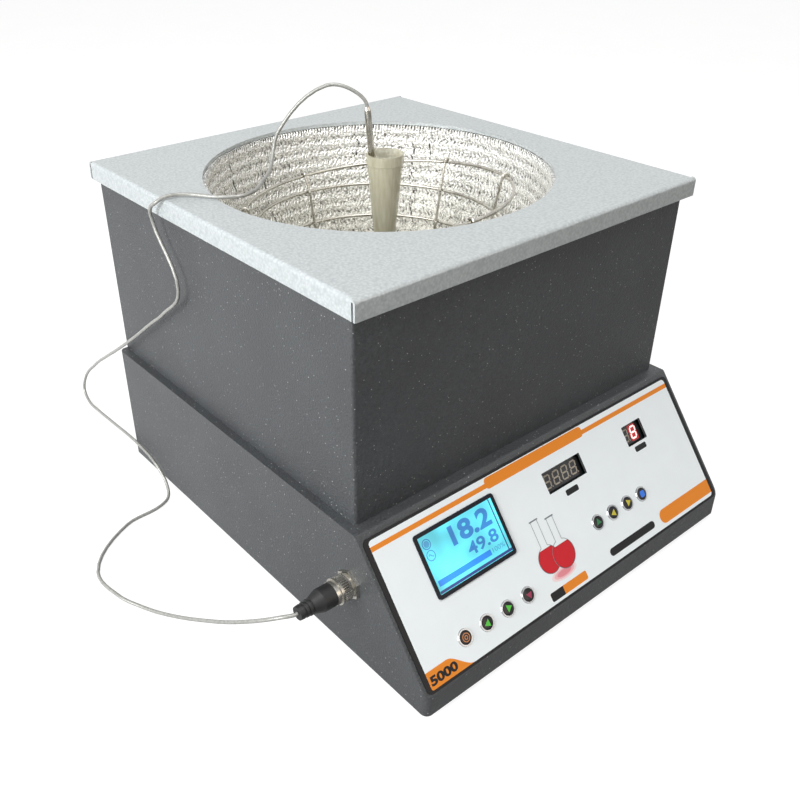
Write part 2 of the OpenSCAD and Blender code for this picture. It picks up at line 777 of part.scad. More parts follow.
// Uprights welded inside the rings, hooked over the top one, and standing in the knitted bowl
module cage_uprights() {
    color("#c6c8c8") at_cabinet(0, bowl_y) for (a = upright_angles) rotate(a) {
        bends = upright_bends(a);
        for (i = [0:2]) let (run = bends[i + 1] - bends[i])
            translate([bends[i][0], 0, bends[i][1]]) rotate([0, atan2(run[0], run[1]), 0])
                cylinder(d = upright_wire_d, h = norm(run), $fn = 16);
        for (b = bends) translate([b[0], 0, b[1]]) sphere(d = bead_d, $fn = 12);
        translate([top_wire(a)[0], 0, top_wire(a)[1]]) rotate([90, 0, 0]) rotate([0, 0, 180 - hook_turn])
            rotate_extrude(angle = hook_turn - upper_lean(a), $fn = 32) translate([weld, 0])
                circle(d = upright_wire_d, $fn = 16);
    }
}

sleeve_x = 4;
sleeve_y = 2;
sleeve_foot = bowl_floor_z + loose;
sleeve_cone_d = sleeve_mouth_d - 2;
sleeve_top = z_lid + sleeve_above;

module probe_sleeve() {
    h = sleeve_top - sleeve_foot;
    cone = h - sleeve_collar_h;
    w = sleeve_wall;
    mouth = sleeve_mouth_d/2;
    body_r = sleeve_cone_d/2;
    stem = sleeve_stem_d/2;
    color([0.86, 0.83, 0.72, 0.6]) at_cabinet(sleeve_x, sleeve_y, sleeve_foot) rotate_extrude() polygon([
        [0, 0], [stem, 0], [stem, sleeve_stem_h], [body_r, cone], [mouth, cone + 0.6], [mouth, h],
        [mouth - w, h], [body_r - w, cone - 1], [stem - w, sleeve_stem_h], [stem - w, 3], [0, 3]]);
}

probe_top = [-6.8, 13.3, 53];
probe_tip = [5.5, 0.4, -135];
probe_line = probe_top - probe_tip;

module along_probe() {
    at_cabinet(probe_tip[0], probe_tip[1], z_lid + probe_tip[2])
        rotate([0, acos(probe_line[2]/norm(probe_line)), atan2(probe_line[1], probe_line[0])]) children();
}

module temperature_probe() {
    l = norm(probe_line);
    color("#b9b6ae") along_probe() {
        translate([0, 0, probe_d/2]) cylinder(d = probe_d, h = l - probe_d/2 - 3);
        translate([0, 0, probe_d/2]) sphere(d = probe_d);
        translate([0, 0, l - 3]) cylinder(d1 = probe_d, d2 = lead_d + 1.2, h = 3);
    }
}

// ---------------------------------------------------------------- sensor lead

lead_route = [[-256, -141, 81], [-271, -104, 57], [-278, -73, 38], [-292, -12, 8], [-301, 15, 2],
    [-310, 39, 2], [-311, 81, 2], [-258, 126, 2], [-219, 131, 2], [-206, 138, 3], [-200, 151, 10],
    [-200, 170, 24], [-199, 203, 28], [-193, 288, 15], [-189, 335, 6], [-186, 366, 2],
    [-183, 382.5, 9], [-182, 377, 26], [-185, 326, 70], [-192, 276, 103], [-198, 226, 135],
    [-197, 181, 167], [-196, 144, 195], [-195, 112, 219], [-195, 79.5, 252.5], [-195.5, 110.5, 306.5],
    [-197.5, 106.5, 318], [-195, 99.5, 324], [-188.5, 97, 327.5], [-176, 94.5, 327.5],
    [-148, 64.5, 327], [-133.5, 58.5, 327.5], [-101, 82, 327], [-84, 96, 330], [-73, 107, 340],
    [-67, 105, 358], [-34, 78, 396], [-18, 65, 393]];
lead_end = [probe_top[0], centre_y + probe_top[1], z_lid + probe_top[2]];
lead_start = [-wall_x - boot_end, centre_y + plug_y, plug_z];
lead_points = concat([lead_start], lead_route, [lead_end]);
lead_sides = 8;

function unit(v) = v/norm(v);
function lead_tangent(i) = let (n = len(lead_points) - 1)
    i == 0 ? [-1, 0, 0] : i == n ? -unit(probe_line) :
    unit(unit(lead_points[i] - lead_points[i - 1]) + unit(lead_points[i + 1] - lead_points[i]));

// Hermite curve between two route points
function lead_between(i, t) = let (
    p = lead_points[i], q = lead_points[i + 1], d = norm(q - p),
    m = lead_tangent(i)*d, k = lead_tangent(i + 1)*d)
    p*(2*pow(t, 3) - 3*pow(t, 2) + 1) + m*(pow(t, 3) - 2*pow(t, 2) + t)
    + q*(3*pow(t, 2) - 2*pow(t, 3)) + k*(pow(t, 3) - pow(t, 2));

lead_path = concat([for (i = [0:len(lead_points) - 2])
    let (parts = norm(lead_points[i + 1] - lead_points[i]) > 24 ? 2 : 1)
    for (j = [0:parts - 1]) lead_between(i, j/parts)], [lead_end]);

function path_tangent(i) = let (n = len(lead_path) - 1)
    i == 0 ? [-1, 0, 0] : i == n ? -unit(probe_line) : unit(lead_path[i + 1] - lead_path[i - 1]);

// Carries a side vector along the path without twist
function carried(i, v) = let (t = path_tangent(i)) unit(v - t*(v*t));
function frames(i = 0, v = [0, 0, 1], out = []) =
    i == len(lead_path) ? out : let (s = carried(i, v)) frames(i + 1, s, concat(out, [s]));

module sensor_lead() {
    side = frames();
    n = len(lead_path);
    rings = [for (i = [0:n - 1], j = [0:lead_sides - 1]) let (
        t = path_tangent(i), a = 360*j/lead_sides, w = cross(t, side[i]))
        lead_path[i] + lead_d/2*(side[i]*cos(a) + w*sin(a))];
    walls = [for (i = [0:n - 2], j = [0:lead_sides - 1]) let (k = (j + 1)%lead_sides)
        [i*lead_sides + j, (i + 1)*lead_sides + j, (i + 1)*lead_sides + k, i*lead_sides + k]];
    ends = [[for (j = [0:lead_sides - 1]) j],
        [for (j = [lead_sides - 1:-1:0]) (n - 1)*lead_sides + j]];
    color("#c9c9c6") polyhedron(rings, concat(walls, ends), convexity = 10);
}

// ---------------------------------------------------------------- sensor plug and socket

// Half section of the boot: big end, taper and grooved neck
function boot_section() = let (
    big = boot_d/2, throat = boot_throat_d/2, neck = boot_neck_d/2,
    pitch = (boot_end - boot_taper - 3)/boot_grooves)
    concat([[0, body_to], [big, body_to], [big, boot_shoulder], [throat, boot_taper]],
        [for (i = [0:boot_grooves - 1], p = [[0.15, 0], [0.3, 1], [0.6, 1], [0.75, 0]])
            let (at = boot_taper + (i + p[0])*pitch,
                 r = throat + (neck - throat)*(at - boot_taper)/(boot_end - boot_taper))
            [r - p[1], at]],
        [[neck, boot_end], [0, boot_end]]);

module plug_boot() {
    color("#15171a") on_left_wall() rotate_extrude() polygon(boot_section());
}

module plug_body() {
    color("#c4c2bc") on_left_wall() difference() {
        union() {
            translate([0, 0, ring_to + run_gap]) cylinder(d = boot_d + 0.6, h = body_to - ring_to - run_gap);
            translate([0, 0, ring_from - 2]) cylinder(d = body_pin_d, h = body_to - ring_from + 2);
        }
        for (a = [0:60:300]) rotate(a) translate([body_pin_d/3, 0, ring_from - 2 - past])
            cylinder(d = 1.6, h = 4 + past);
    }
}

// Knurled sleeve that turns on the plug and screws onto the socket
module coupling_ring() {
    color("#d2d0ca") on_left_wall() difference() {
        union() {
            translate([0, 0, ring_from]) cylinder(d = ring_d, h = ring_to - ring_from);
            translate([0, 0, ring_to - ring_lip]) cylinder(d = ring_d + 0.6, h = ring_lip);
        }
        translate([0, 0, ring_from - past]) cylinder(d = socket_d + 2*run_gap, h = socket_out - ring_from + 0.4 + past);
        translate([0, 0, ring_from]) cylinder(d = body_pin_d + 2*run_gap, h = ring_to);
        for (i = [0:knurl_count - 1]) rotate(360*i/knurl_count)
            translate([ring_d/2, 0, ring_from + 1]) rotate([0, 0, 45])
                translate([-0.4, -0.4, 0]) cube([0.8, 0.8, ring_to - ring_from - ring_lip - 1.6]);
    }
}

module sensor_socket() {
    color("#bdbbb5") on_left_wall() difference() {
        union() {
            translate([0, 0, -base_t - 2]) cylinder(d = socket_flange_d, h = 2);
            translate([0, 0, -base_t - 1]) cylinder(d = socket_d, h = base_t + 1 + socket_out);
            translate([0, 0, -base_t - 12]) cylinder(d = socket_bore_d, h = 11);
        }
        translate([0, 0, ring_from - 2 - snug]) cylinder(d = socket_bore_d, h = socket_out);
    }
}

module socket_nut() {
    color("#cbc9c3") on_left_wall() hex_nut(nut_af, nut_t, socket_d + 2*run_gap);
}

// ---------------------------------------------------------------- control panel

module control_panel() {
    color("#ecf2f6") difference() {
        on_slope(0, panel_drop + panel_h/2) linear_extrude(panel_t) round_rect(panel_w, panel_h, panel_r);
        panel_cuts(snug);
    }
}

module lcd_frame() {
    color("#0b1024") on_slope(lcd_at[0], lcd_at[1]) difference() {
        union() {
            translate([0, 0, face]) linear_extrude(lcd_raise) round_rect(lcd_w, lcd_h, 3);
            translate([0, 0, -lcd_deep]) linear_extrude(lcd_deep + face) square(lcd_body, center = true);
            for (x = [-1, 1], y = [-1, 1]) translate([x*(lcd_body[0]/2 - 4), y*(lcd_body[1]/2 - 4), board_face])
                cylinder(d = spacer_d, h = -board_face - lcd_deep);
        }
        translate([0, 0, face + lcd_raise - lcd_glass_t]) linear_extrude(past)
            square([lcd_glass[0] + 2*snug, lcd_glass[1] + 2*snug], center = true);
    }
}

module lcd_screen() {
    color("#84fafc") on_slope(lcd_at[0], lcd_at[1], face + lcd_raise - lcd_glass_t)
        linear_extrude(lcd_glass_t - 0.1) square(lcd_glass, center = true);
}

// A digit display's block, standing on the circuit board behind its window
module digit_display(at, w) {
    on_slope(at[0], at[1], board_face) linear_extrude(led_t) square([w, led_h], center = true);
}

module digit_display_4() {
    color("#2b2b2e") digit_display(led4_at, led4_w);
}

module digit_display_2() {
    color("#3a1518") digit_display(led2_at, led2_w);
}

module display_board() {
    h = slope_len - panel_drop - 2*board_margin;
    color("#1f5a3a") on_slope(0, panel_drop + board_margin + h/2, board_face - board_t)
        linear_extrude(board_t) difference() {
            square([board_w, h], center = true);
            for (p = spacer_spots) translate([p[0], panel_drop + board_margin + h/2 - p[1]])
                circle(d = 3.4);
        }
}

module board_spacers() {
    color("silver") for (p = spacer_spots) on_slope(p[0], p[1], board_face)
        cylinder(d = spacer_d, h = board_depth - base_t);
}

module key_switches() {
    color("#22252a") for (k = key_spots) on_slope(k[0], k[1], board_face) difference() {
        block(switch_w, switch_w, switch_h);
        translate([0, 0, 0.4]) cylinder(d = key_stem_d + 2*loose, h = switch_h + past);
    }
}

module key_rings() {
    color("#9b9da0") for (k = key_spots) on_slope(k[0], k[1]) difference() {
        union() {
            translate([0, 0, face]) cylinder(d1 = key_ring_d, d2 = key_ring_d - 0.8, h = key_ring_h);
            translate([0, 0, ring_back]) cylinder(d = key_sleeve_d, h = face - ring_back);
        }
        translate([0, 0, ring_back - past]) cylinder(d = key_d + 2*loose, h = face - ring_back + 3*past);
    }
}

// A domed key with a retaining flange and a stem down to its switch
module key(k) {
    flange = ring_back - run_gap;
    color("#101012") on_slope(k[0], k[1]) {
        rotate_extrude() polygon(concat(
            [[0, key_stem_end], [key_stem_d/2, key_stem_end], [key_stem_d/2, flange - key_flange_t],
             [key_flange_d/2, flange - key_flange_t], [key_flange_d/2, flange], [key_d/2, flange],
             [key_d/2, face + key_rise - 0.6]],
            [for (i = [1:6]) [key_d/2*cos(15*i), face + key_rise - 0.6 + 0.6*sin(15*i)]]));
    }
}

// ---------------------------------------------------------------- stirrer

module stirrer_motor() {
    color("#8d9093") at_cabinet(0, bowl_y) difference() {
        union() {
            translate([0, 0, motor_top - motor_h]) cylinder(d = motor_d, h = motor_h);
            translate([0, 0, motor_top]) cylinder(d = motor_boss_d, h = motor_boss_h);
            translate([0, 0, motor_top - motor_h - 3]) cylinder(d = 18, h = 3);
        }
        translate([0, 0, motor_top - shaft_depth]) cylinder(d = shaft_d + 2*run_gap, h = shaft_depth + 3*past);
    }
}

module motor_plate() {
    color("#a7abad") at_cabinet(0, bowl_y, motor_top) linear_extrude(motor_plate_t) difference() {
        round_rect(motor_plate_w, motor_plate_w, 5);
        circle(d = motor_boss_d + 2*snug);
        for (a = [45:90:315]) rotate(a) translate([motor_spot, 0]) circle(d = hole_d);
    }
}

module motor_spacers() {
    color("silver") at_cabinet(0, bowl_y) for (a = [45:90:315]) rotate(a) translate([motor_spot, 0, 0]) {
        translate([0, 0, motor_plate_z]) cylinder(d = 8, h = z_ledge - base_t - motor_plate_z);
        translate([0, 0, motor_top - 3]) cylinder(d = 7, h = 3);
        translate([0, 0, motor_top]) cylinder(d = screw_d, h = z_ledge - motor_top);
        translate([0, 0, z_ledge]) cylinder(d = 7, h = casing_t - snug);
    }
}

module motor_shaft() {
    color("silver") at_cabinet(0, bowl_y, motor_top - shaft_depth + 1)
        cylinder(d = shaft_d, h = carrier_top - carrier_h - motor_top + shaft_depth + 3);
}

module magnet_carrier() {
    color("#d8d8d4") at_cabinet(0, bowl_y) difference() {
        union() {
            translate([0, 0, carrier_top - carrier_h]) cylinder(d = carrier_d, h = carrier_h);
            translate([0, 0, carrier_top - carrier_h - hub_h]) cylinder(d = hub_d, h = hub_h);
        }
        translate([0, 0, carrier_top - carrier_h - hub_h - past])
            cylinder(d = shaft_d + 2*run_gap, h = hub_h + past + 4.2);
        for (s = [-1, 1]) translate([s*magnet_spot, 0, carrier_top - magnet_h])
            cylinder(d = magnet_d + 2*snug, h = magnet_h + past);
    }
}

module stirrer_magnets() {
    color("#6f7275") at_cabinet(0, bowl_y) for (s = [-1, 1])
        translate([s*magnet_spot, 0, carrier_top - magnet_h]) cylinder(d = magnet_d, h = magnet_h - snug);
}

// ---------------------------------------------------------------- power electronics

module power_board() {
    color("#27663f") at_cabinet(power_at[0], power_at[1], z_base + plate_t + power_stand)
        block(power_w, power_l, board_t);
}

module power_spacers() {
    color("silver") for (x = [-1, 1], y = [-1, 1])
        at_cabinet(power_at[0] + x*(power_w/2 - 6), power_at[1] + y*(power_l/2 - 6), z_base + plate_t)
            cylinder(d = spacer_d, h = power_stand);
}

module transformer() {
    color("#7b5a36") at_cabinet(transformer_at[0], transformer_at[1], z_base + plate_t) union() {
        block(core_w + 10, coil_d, 4);
        block(core_w, core_d, core_h);
        translate([0, 0, (core_h - coil_h)/2]) block(coil_w, coil_d, coil_h);
    }
}

module heat_sink() {
    pitch = (sink_w - 2)/(sink_fins - 1);
    color("#a9adb0") at_cabinet(power_at[0] - 24, power_at[1], z_base + plate_t + power_stand + board_t) {
        block(sink_w, 40, 4);
        for (i = [0:sink_fins - 1]) translate([-sink_w/2 + 1 + i*pitch, 0, 0]) block(2, 40, 26);
    }
}

module relay() {
    color("#1d3f86") at_cabinet(power_at[0] + 30, power_at[1] + 15, z_base + plate_t + power_stand + board_t)
        block(28, 30, 26);
}

// ---------------------------------------------------------------- rear panel

module mains_inlet() {
    color("#17181a") on_rear(inlet_x) difference() {
        union() {
            linear_extrude(inlet_t) difference() {
                round_rect(inlet_ear_w, inlet_h + 3, 4);
                for (s = [-1, 1]) translate([s*inlet_screw_x, 0]) circle(d = screw_d - 1 + 2*screw_gap);
            }
            translate([0, 0, -inlet_depth]) linear_extrude(inlet_depth + inlet_t)
                square([inlet_w, inlet_h], center = true);
        }
        translate([0, 0, inlet_t - inlet_cavity_deep]) linear_extrude(inlet_cavity_deep + past) difference() {
            square([inlet_cavity_w, inlet_cavity_h], center = true);
            for (p = pin_spots) translate(p) square([2, 4], center = true);
        }
        translate([0, 0, inlet_t - 3]) linear_extrude(3 + past)
            for (p = pin_spots) translate(p) square([2.4, 4.4], center = true);
    }
}

module inlet_screws() {
    color("silver") for (s = [-1, 1]) on_rear(inlet_x) translate([s*inlet_screw_x, 0, inlet_t]) {
        cylinder(d1 = 6, d2 = 4.6, h = 1.8);
        translate([0, 0, -inlet_t - base_t - 3]) cylinder(d = screw_d - 1, h = inlet_t + base_t + 3);
    }
}

module switch_frame() {
    cavity_w = rocker_w + 2*loose;
    cavity_h = 2*(rocker_r + loose);
    color("#1b1c1e") on_rear(switch_x) difference() {
        union() {
            linear_extrude(switch_t) round_rect(switch_bezel_w, switch_bezel_h, 2);
            translate([0, 0, -switch_depth]) linear_extrude(switch_depth + switch_t)
                square([switch_body_w, switch_body_h], center = true);
        }
        translate([0, 0, rocker_pivot - 8]) linear_extrude(8 - rocker_pivot + past + switch_t)
            square([cavity_w, cavity_h], center = true);
        translate([-cavity_w/2 - rocker_pin_l - loose, 0, rocker_pivot]) rotate([0, 90, 0])
            cylinder(d = rocker_pin_d + 2*run_gap, h = cavity_w + 2*rocker_pin_l + 2*loose);
    }
}

// Rocker, with its face bent about the middle and its lower half pressed in
module rocker() {
    color("#b3261c") on_rear(switch_x) translate([0, 0, rocker_pivot]) rotate([rocker_tilt, 0, 0]) {
        translate([-rocker_w/2, 0, 0]) rotate([90, 0, 90]) linear_extrude(rocker_w) intersection() {
            circle(rocker_r);
            polygon([[-rocker_r, -4], [rocker_r, -4],
                [rocker_r, rocker_face + rocker_r*tan(rocker_tilt)], [0, rocker_face],
                [-rocker_r, rocker_face + rocker_r*tan(rocker_tilt)]]);
        }
        translate([-rocker_w/2 - rocker_pin_l, 0, 0]) rotate([0, 90, 0])
            cylinder(d = rocker_pin_d, h = rocker_w + 2*rocker_pin_l);
    }
}

base_housing();
base_plate();
plate_screws();
rubber_feet();
foot_screws();
foot_nuts();
upper_casing();
casing_screws();
casing_nuts();
top_plate();
lid_nuts();
carrier_plate();
bowl_shell();
heating_element();
heating_fabric();
insulation();
heat_shield();
cage_rings();
cage_uprights();
probe_sleeve();
temperature_probe();
sensor_lead();
plug_boot();
plug_body();
coupling_ring();
socket_nut();
sensor_socket();
control_panel();
lcd_frame();
lcd_screen();
digit_display_4();
digit_display_2();
display_board();
board_spacers();
key_switches();
key_rings();
key(key_spots[0]);  // key_set
key(key_spots[1]);  // key_up
key(key_spots[2]);  // key_down
key(key_spots[3]);  // key_enter
key(key_spots[4]);  // key_start
key(key_spots[5]);  // key_raise
key(key_spots[6]);  // key_lower
key(key_spots[7]);  // key_menu
stirrer_motor();
motor_plate();
motor_spacers();
motor_shaft();
magnet_carrier();
stirrer_magnets();
power_board();
power_spacers();
transformer();
heat_sink();
relay();
mains_inlet();
inlet_screws();
switch_frame();
rocker();
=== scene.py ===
import math

import bpy
from mathutils import Matrix, Vector, noise
from mathutils.geometry import interpolate_bezier


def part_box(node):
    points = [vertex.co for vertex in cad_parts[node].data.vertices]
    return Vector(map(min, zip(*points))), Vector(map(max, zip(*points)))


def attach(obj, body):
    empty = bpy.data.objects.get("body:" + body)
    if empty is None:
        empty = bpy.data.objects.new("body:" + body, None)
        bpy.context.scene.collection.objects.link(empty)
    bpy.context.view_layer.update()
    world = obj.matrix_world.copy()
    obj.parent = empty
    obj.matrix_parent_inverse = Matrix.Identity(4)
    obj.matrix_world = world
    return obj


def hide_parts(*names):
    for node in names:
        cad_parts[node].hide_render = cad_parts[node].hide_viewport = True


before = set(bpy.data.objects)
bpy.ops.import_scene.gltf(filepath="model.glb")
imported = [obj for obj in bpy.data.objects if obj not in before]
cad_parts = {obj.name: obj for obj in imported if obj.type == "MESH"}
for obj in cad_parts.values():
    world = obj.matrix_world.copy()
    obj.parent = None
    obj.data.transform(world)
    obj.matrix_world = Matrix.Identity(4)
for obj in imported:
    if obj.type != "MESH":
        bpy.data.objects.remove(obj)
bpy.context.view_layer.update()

MM = 0.001

# Places taken from the part, in metres
PANEL_TILT = math.atan2(105, 83)
PANEL = Matrix.Translation((0, -0.1535, 0.133)) @ Matrix.Rotation(PANEL_TILT, 4, "X")
BOWL = Vector((0.0, 0.0485, 0.313))

# Panel levels along its own normal, in millimetres
FILM_FACE = 0.8
INK = 0.04
GLASS_FACE = 1.9
DIGIT_FACE = -4.0
KEY_TOP = 2.4


# ---------------------------------------------------------------- helpers

def linear(hex_code):
    """An sRGB colour such as '#c4cccc' as linear RGBA."""
    channels = [int(hex_code[i:i + 2], 16) / 255 for i in (1, 3, 5)]
    return [c / 12.92 if c <= 0.04045 else ((c + 0.055) / 1.055) ** 2.4
            for c in channels] + [1.0]


def add(mat, kind, inputs=None, **settings):
    """Adds a shader node with its settings, and links or values on its inputs."""
    node = mat.node_tree.nodes.new("ShaderNode" + kind)
    for key, value in settings.items():
        setattr(node, key, value)
    for key, value in (inputs or {}).items():
        if isinstance(value, bpy.types.NodeSocket):
            mat.node_tree.links.new(value, node.inputs[key])
        else:
            node.inputs[key].default_value = value
    return node


def new_material(name, colour, roughness, metallic=0.0, **sockets):
    """A material whose shader has fixed values; patterns are linked to it afterwards."""
    mat = bpy.data.materials.new(name)
    mat.use_nodes = True
    shader = mat.node_tree.nodes["Principled BSDF"]
    shader.inputs["Base Color"].default_value = linear(colour)
    shader.inputs["Roughness"].default_value = roughness
    shader.inputs["Metallic"].default_value = metallic
    for key, value in sockets.items():
        shader.inputs[key.replace("_", " ")].default_value = value
    return mat, shader


def link(mat, output, socket):
    mat.node_tree.links.new(output, socket)


def object_point(mat, scale=(1, 1, 1)):
    """Object coordinates, stretched where a pattern runs one way."""
    coords = add(mat, "TexCoord")
    return add(mat, "Mapping",
               {"Vector": coords.outputs["Object"], "Scale": scale}).outputs["Vector"]


def grain(mat, size_mm, detail=2.0, stretch=(1, 1, 1), roughness=0.5):
    """Noise whose blotches are about size_mm across."""
    return add(mat, "TexNoise",
               {"Vector": object_point(mat, stretch), "Scale": 1 / (size_mm * MM),
                                 "Detail": detail, "Roughness": roughness}).outputs["Fac"]


def ramp(mat, value, low, high, low_colour, high_colour):
    """Blends two colours as a value goes from low to high."""
    spread = add(mat, "MapRange", {"Value": value, "From Min": low, "From Max": high})
    mix = add(mat, "Mix", {"Factor": spread.outputs["Result"]}, data_type="RGBA")
    for socket, colour in ((6, low_colour), (7, high_colour)):
        if isinstance(colour, str):
            mix.inputs[socket].default_value = linear(colour)
        else:
            link(mat, colour, mix.inputs[socket])
    return mix.outputs[2]


def spread(mat, value, low, high, to_low, to_high):
    """A value's range from low to high, stretched onto another range."""
    return add(mat, "MapRange", {"Value": value, "From Min": low, "From Max": high,
                                 "To Min": to_low, "To Max": to_high}).outputs["Result"]


def calc(mat, operation, a, b=0.0):
    return add(mat, "Math", {0: a, 1: b}, operation=operation).outputs["Value"]


def bump(mat, shader, height, distance_mm, strength=1.0):
    normal = add(mat, "Bump",
                 {"Height": height, "Distance": distance_mm * MM, "Strength": strength})
    link(mat, normal.outputs["Normal"], shader.inputs["Normal"])


def paint(obj, mat):
    """Gives every slot of a piece one material."""
    if not obj.data.materials:
        obj.data.materials.append(mat)
    for slot in obj.material_slots:
        slot.material = mat


def deselect():
    if bpy.context.object and bpy.context.object.mode != "OBJECT":
        bpy.ops.object.mode_set(mode="OBJECT")
    bpy.ops.object.select_all(action="DESELECT")


def activate(obj):
    deselect()
    obj.select_set(True)
    bpy.context.view_layer.objects.active = obj


def finish_piece(obj, name, mat, body="root"):
    """Leaves a piece's place in its mesh, and gives it its finish and its body."""
    obj.name = name
    activate(obj)
    bpy.ops.object.transform_apply(location=True, rotation=True, scale=True)
    paint(obj, mat)
    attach(obj, body)
    return obj


def smooth(obj, degrees=35):
    activate(obj)
    bpy.ops.object.shade_smooth_by_angle(angle=math.radians(degrees))


# ---------------------------------------------------------------- camera

def turned_camera(place, azimuth, height, roll, lens, shift):
    a, e, r = (math.radians(v) for v in (azimuth, height, roll))
    back = Vector((math.sin(a) * math.cos(e), -math.cos(a) * math.cos(e), math.sin(e)))
    right = Vector((math.cos(a), math.sin(a), 0))
    up = back.cross(right)
    across = right * math.cos(r) + up * math.sin(r)
    upward = up * math.cos(r) - right * math.sin(r)
    turn = Matrix((across, upward, back)).transposed()
    bpy.ops.object.camera_add(location=place, rotation=turn.to_euler())
    camera = bpy.context.object
    camera.data.lens = lens
    camera.data.shift_x, camera.data.shift_y = shift
    camera.data.clip_end = 100
    bpy.context.scene.camera = camera


deselect()
turned_camera((-0.5165, -0.5579, 0.5750), -39.36, 31.99, -0.41, 40.62, (0.0453, 0.0026))


# ---------------------------------------------------------------- sensor lead

# Centreline in millimetres, from the plug's boot, over the bench and up to the probe
LEAD_START = (-245, -146.5, 82)
LEAD_ROUTE = [
    (-256, -141, 81), (-271, -104, 57), (-278, -73, 38), (-292, -12, 8), (-301, 15, 2),
    (-310, 39, 2),
    (-311, 81, 2), (-258, 126, 2), (-219, 131, 2), (-206, 138, 3), (-200, 151, 10),
    (-200, 170, 24),
    (-199, 203, 28), (-193, 288, 15), (-189, 335, 6), (-186, 366, 2), (-183, 382.5, 9),
    (-182, 377, 26),
    (-185, 326, 70), (-192, 276, 103), (-198, 226, 135), (-197, 181, 167), (-196, 144, 195),
    (-195, 112, 219), (-195, 79.5, 252.5), (-195.5, 110.5, 306.5), (-197.5, 106.5, 318),
    (-195, 99.5, 324), (-188.5, 97, 327.5), (-176, 94.5, 327.5), (-148, 64.5, 327),
    (-133.5, 58.5, 327.5), (-101, 82, 327), (-84, 96, 330), (-73, 107, 340), (-67, 105, 358),
    (-34, 78, 396), (-18, 65, 393)]
LEAD_END = (-6.8, 55.8, 378)
PROBE_LINE = Vector((-6.8 - 5.5, 13.3 - 0.4, 53 + 135))
LEAD_D = 0.0032


def lead_curve():
    """One smooth curve through the route, straight out of the boot and into the probe."""
    points = [Vector(p) * MM for p in [LEAD_START] + LEAD_ROUTE + [LEAD_END]]
    last = len(points) - 1
    curve = bpy.data.curves.new("lead_cable", "CURVE")
    curve.dimensions = "3D"
    curve.bevel_depth = LEAD_D / 2
    curve.bevel_resolution = 3
    curve.resolution_u = 6
    curve.use_fill_caps = True
    spline = curve.splines.new("BEZIER")
    spline.bezier_points.add(last)
    for i, (bez, p) in enumerate(zip(spline.bezier_points, points)):
        before = (p - points[i - 1]) if i else None
        after = (points[i + 1] - p) if i < last else None
        if before is None:
            tangent = Vector((-1, 0, 0))
        elif after is None:
            tangent = -PROBE_LINE.normalized()
        else:
            tangent = (before.normalized() + after.normalized()).normalized()
        bez.co = p
        bez.handle_left_type = bez.handle_right_type = "FREE"
        bez.handle_left = p - tangent * (before or after).length / 3
        bez.handle_right = p + tangent * (after or before).length / 3
    length = 0.0
    for a, b in zip(spline.bezier_points, spline.bezier_points[1:]):
        line = interpolate_bezier(a.co, a.handle_right, b.handle_left, b.co, 7)
        length += sum((q - p).length for p, q in zip(line, line[1:]))
    obj = bpy.data.objects.new("lead_cable", curve)
    bpy.context.collection.objects.link(obj)
    return obj, length


# Thin silicone-jacketed sensor cable: satin grey, with a faint lay of the wires under the
# jacket
lead_mat, lead_shader = new_material("satin_grey_silicone", "#a3a39f", 0.36, 0.3)
lead_noise = grain(lead_mat, 2.5)
link(lead_mat, ramp(lead_mat, lead_noise, 0.35, 0.65, "#969692", "#a8a8a4"),
     lead_shader.inputs["Base Color"])
bump(lead_mat, lead_shader, lead_noise, 0.15, 0.4)

lead, lead_length = lead_curve()
paint(lead, lead_mat)
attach(lead, "root")
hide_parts("sensor_lead")


# ----------------------------------------------------- finishes of the metal and plastic parts

# Textured polyester powder coat, oven-cured: a fine orange-peel grain, dark grey, with stray
# light specks and painted shade in the grain's hollows
def powder_coat(name, colour, light):
    mat, shader = new_material(name, colour, 0.46, 0.0, Specular_IOR_Level=0.65)
    peel = grain(mat, 1.9, 3.0, roughness=0.65)
    blotch = grain(mat, 60, 2.0)
    coat = ramp(mat, blotch, 0.35, 0.65, colour, light)
    specks = add(mat, "TexVoronoi",
                 {"Vector": object_point(mat), "Scale": 1 / (3.0 * MM), "Randomness": 1.0})
    chance = add(mat, "TexWhiteNoise", {"Vector": specks.outputs["Color"]}).outputs["Value"]
    dot = calc(mat, "MULTIPLY", spread(mat, specks.outputs["Distance"], 0.08, 0.19, 1, 0),
               spread(mat, chance, 0.6, 1.0, 0, 1))
    # The hollows of the orange peel are painted darker: painted shade
    shaded_peel_hollows = ramp(mat, peel, 0.3, 0.72, "#2c2e30", coat)
    link(mat, ramp(mat, dot, 0, 1, shaded_peel_hollows, "#c6c8c4"), shader.inputs["Base Color"])
    link(mat, spread(mat, peel, 0.3, 0.7, 0.38, 0.58), shader.inputs["Roughness"])
    bump(mat, shader, peel, 0.9, 0.9)
    return mat


# Hammertone enamel over sheet steel: silver-grey pebbles about 2 mm across, with soft
# metallic gloss, a painted highlight on their tops and painted shade at their rims
def hammertone(name, colour, light):
    mat, shader = new_material(name, colour, 0.36, 0.25, Specular_IOR_Level=0.5)
    pebbles = add(mat, "TexVoronoi",
                  {"Vector": object_point(mat), "Scale": 1 / (2.4 * MM), "Smoothness": 0.6},
                  feature="SMOOTH_F1")
    fine = grain(mat, 1.1, 2.0)
    height = calc(mat, "ADD", calc(mat, "MULTIPLY", pebbles.outputs["Distance"], -0.9),
                  calc(mat, "MULTIPLY", fine, 0.5))
    # Pebble tops are painted lighter and their rims darker: painted highlight and painted shade
    link(mat, ramp(mat, height, -0.45, 0.25, colour, light), shader.inputs["Base Color"])
    link(mat, spread(mat, fine, 0.3, 0.7, 0.28, 0.46), shader.inputs["Roughness"])
    bump(mat, shader, height, 0.5, 0.55)
    return mat


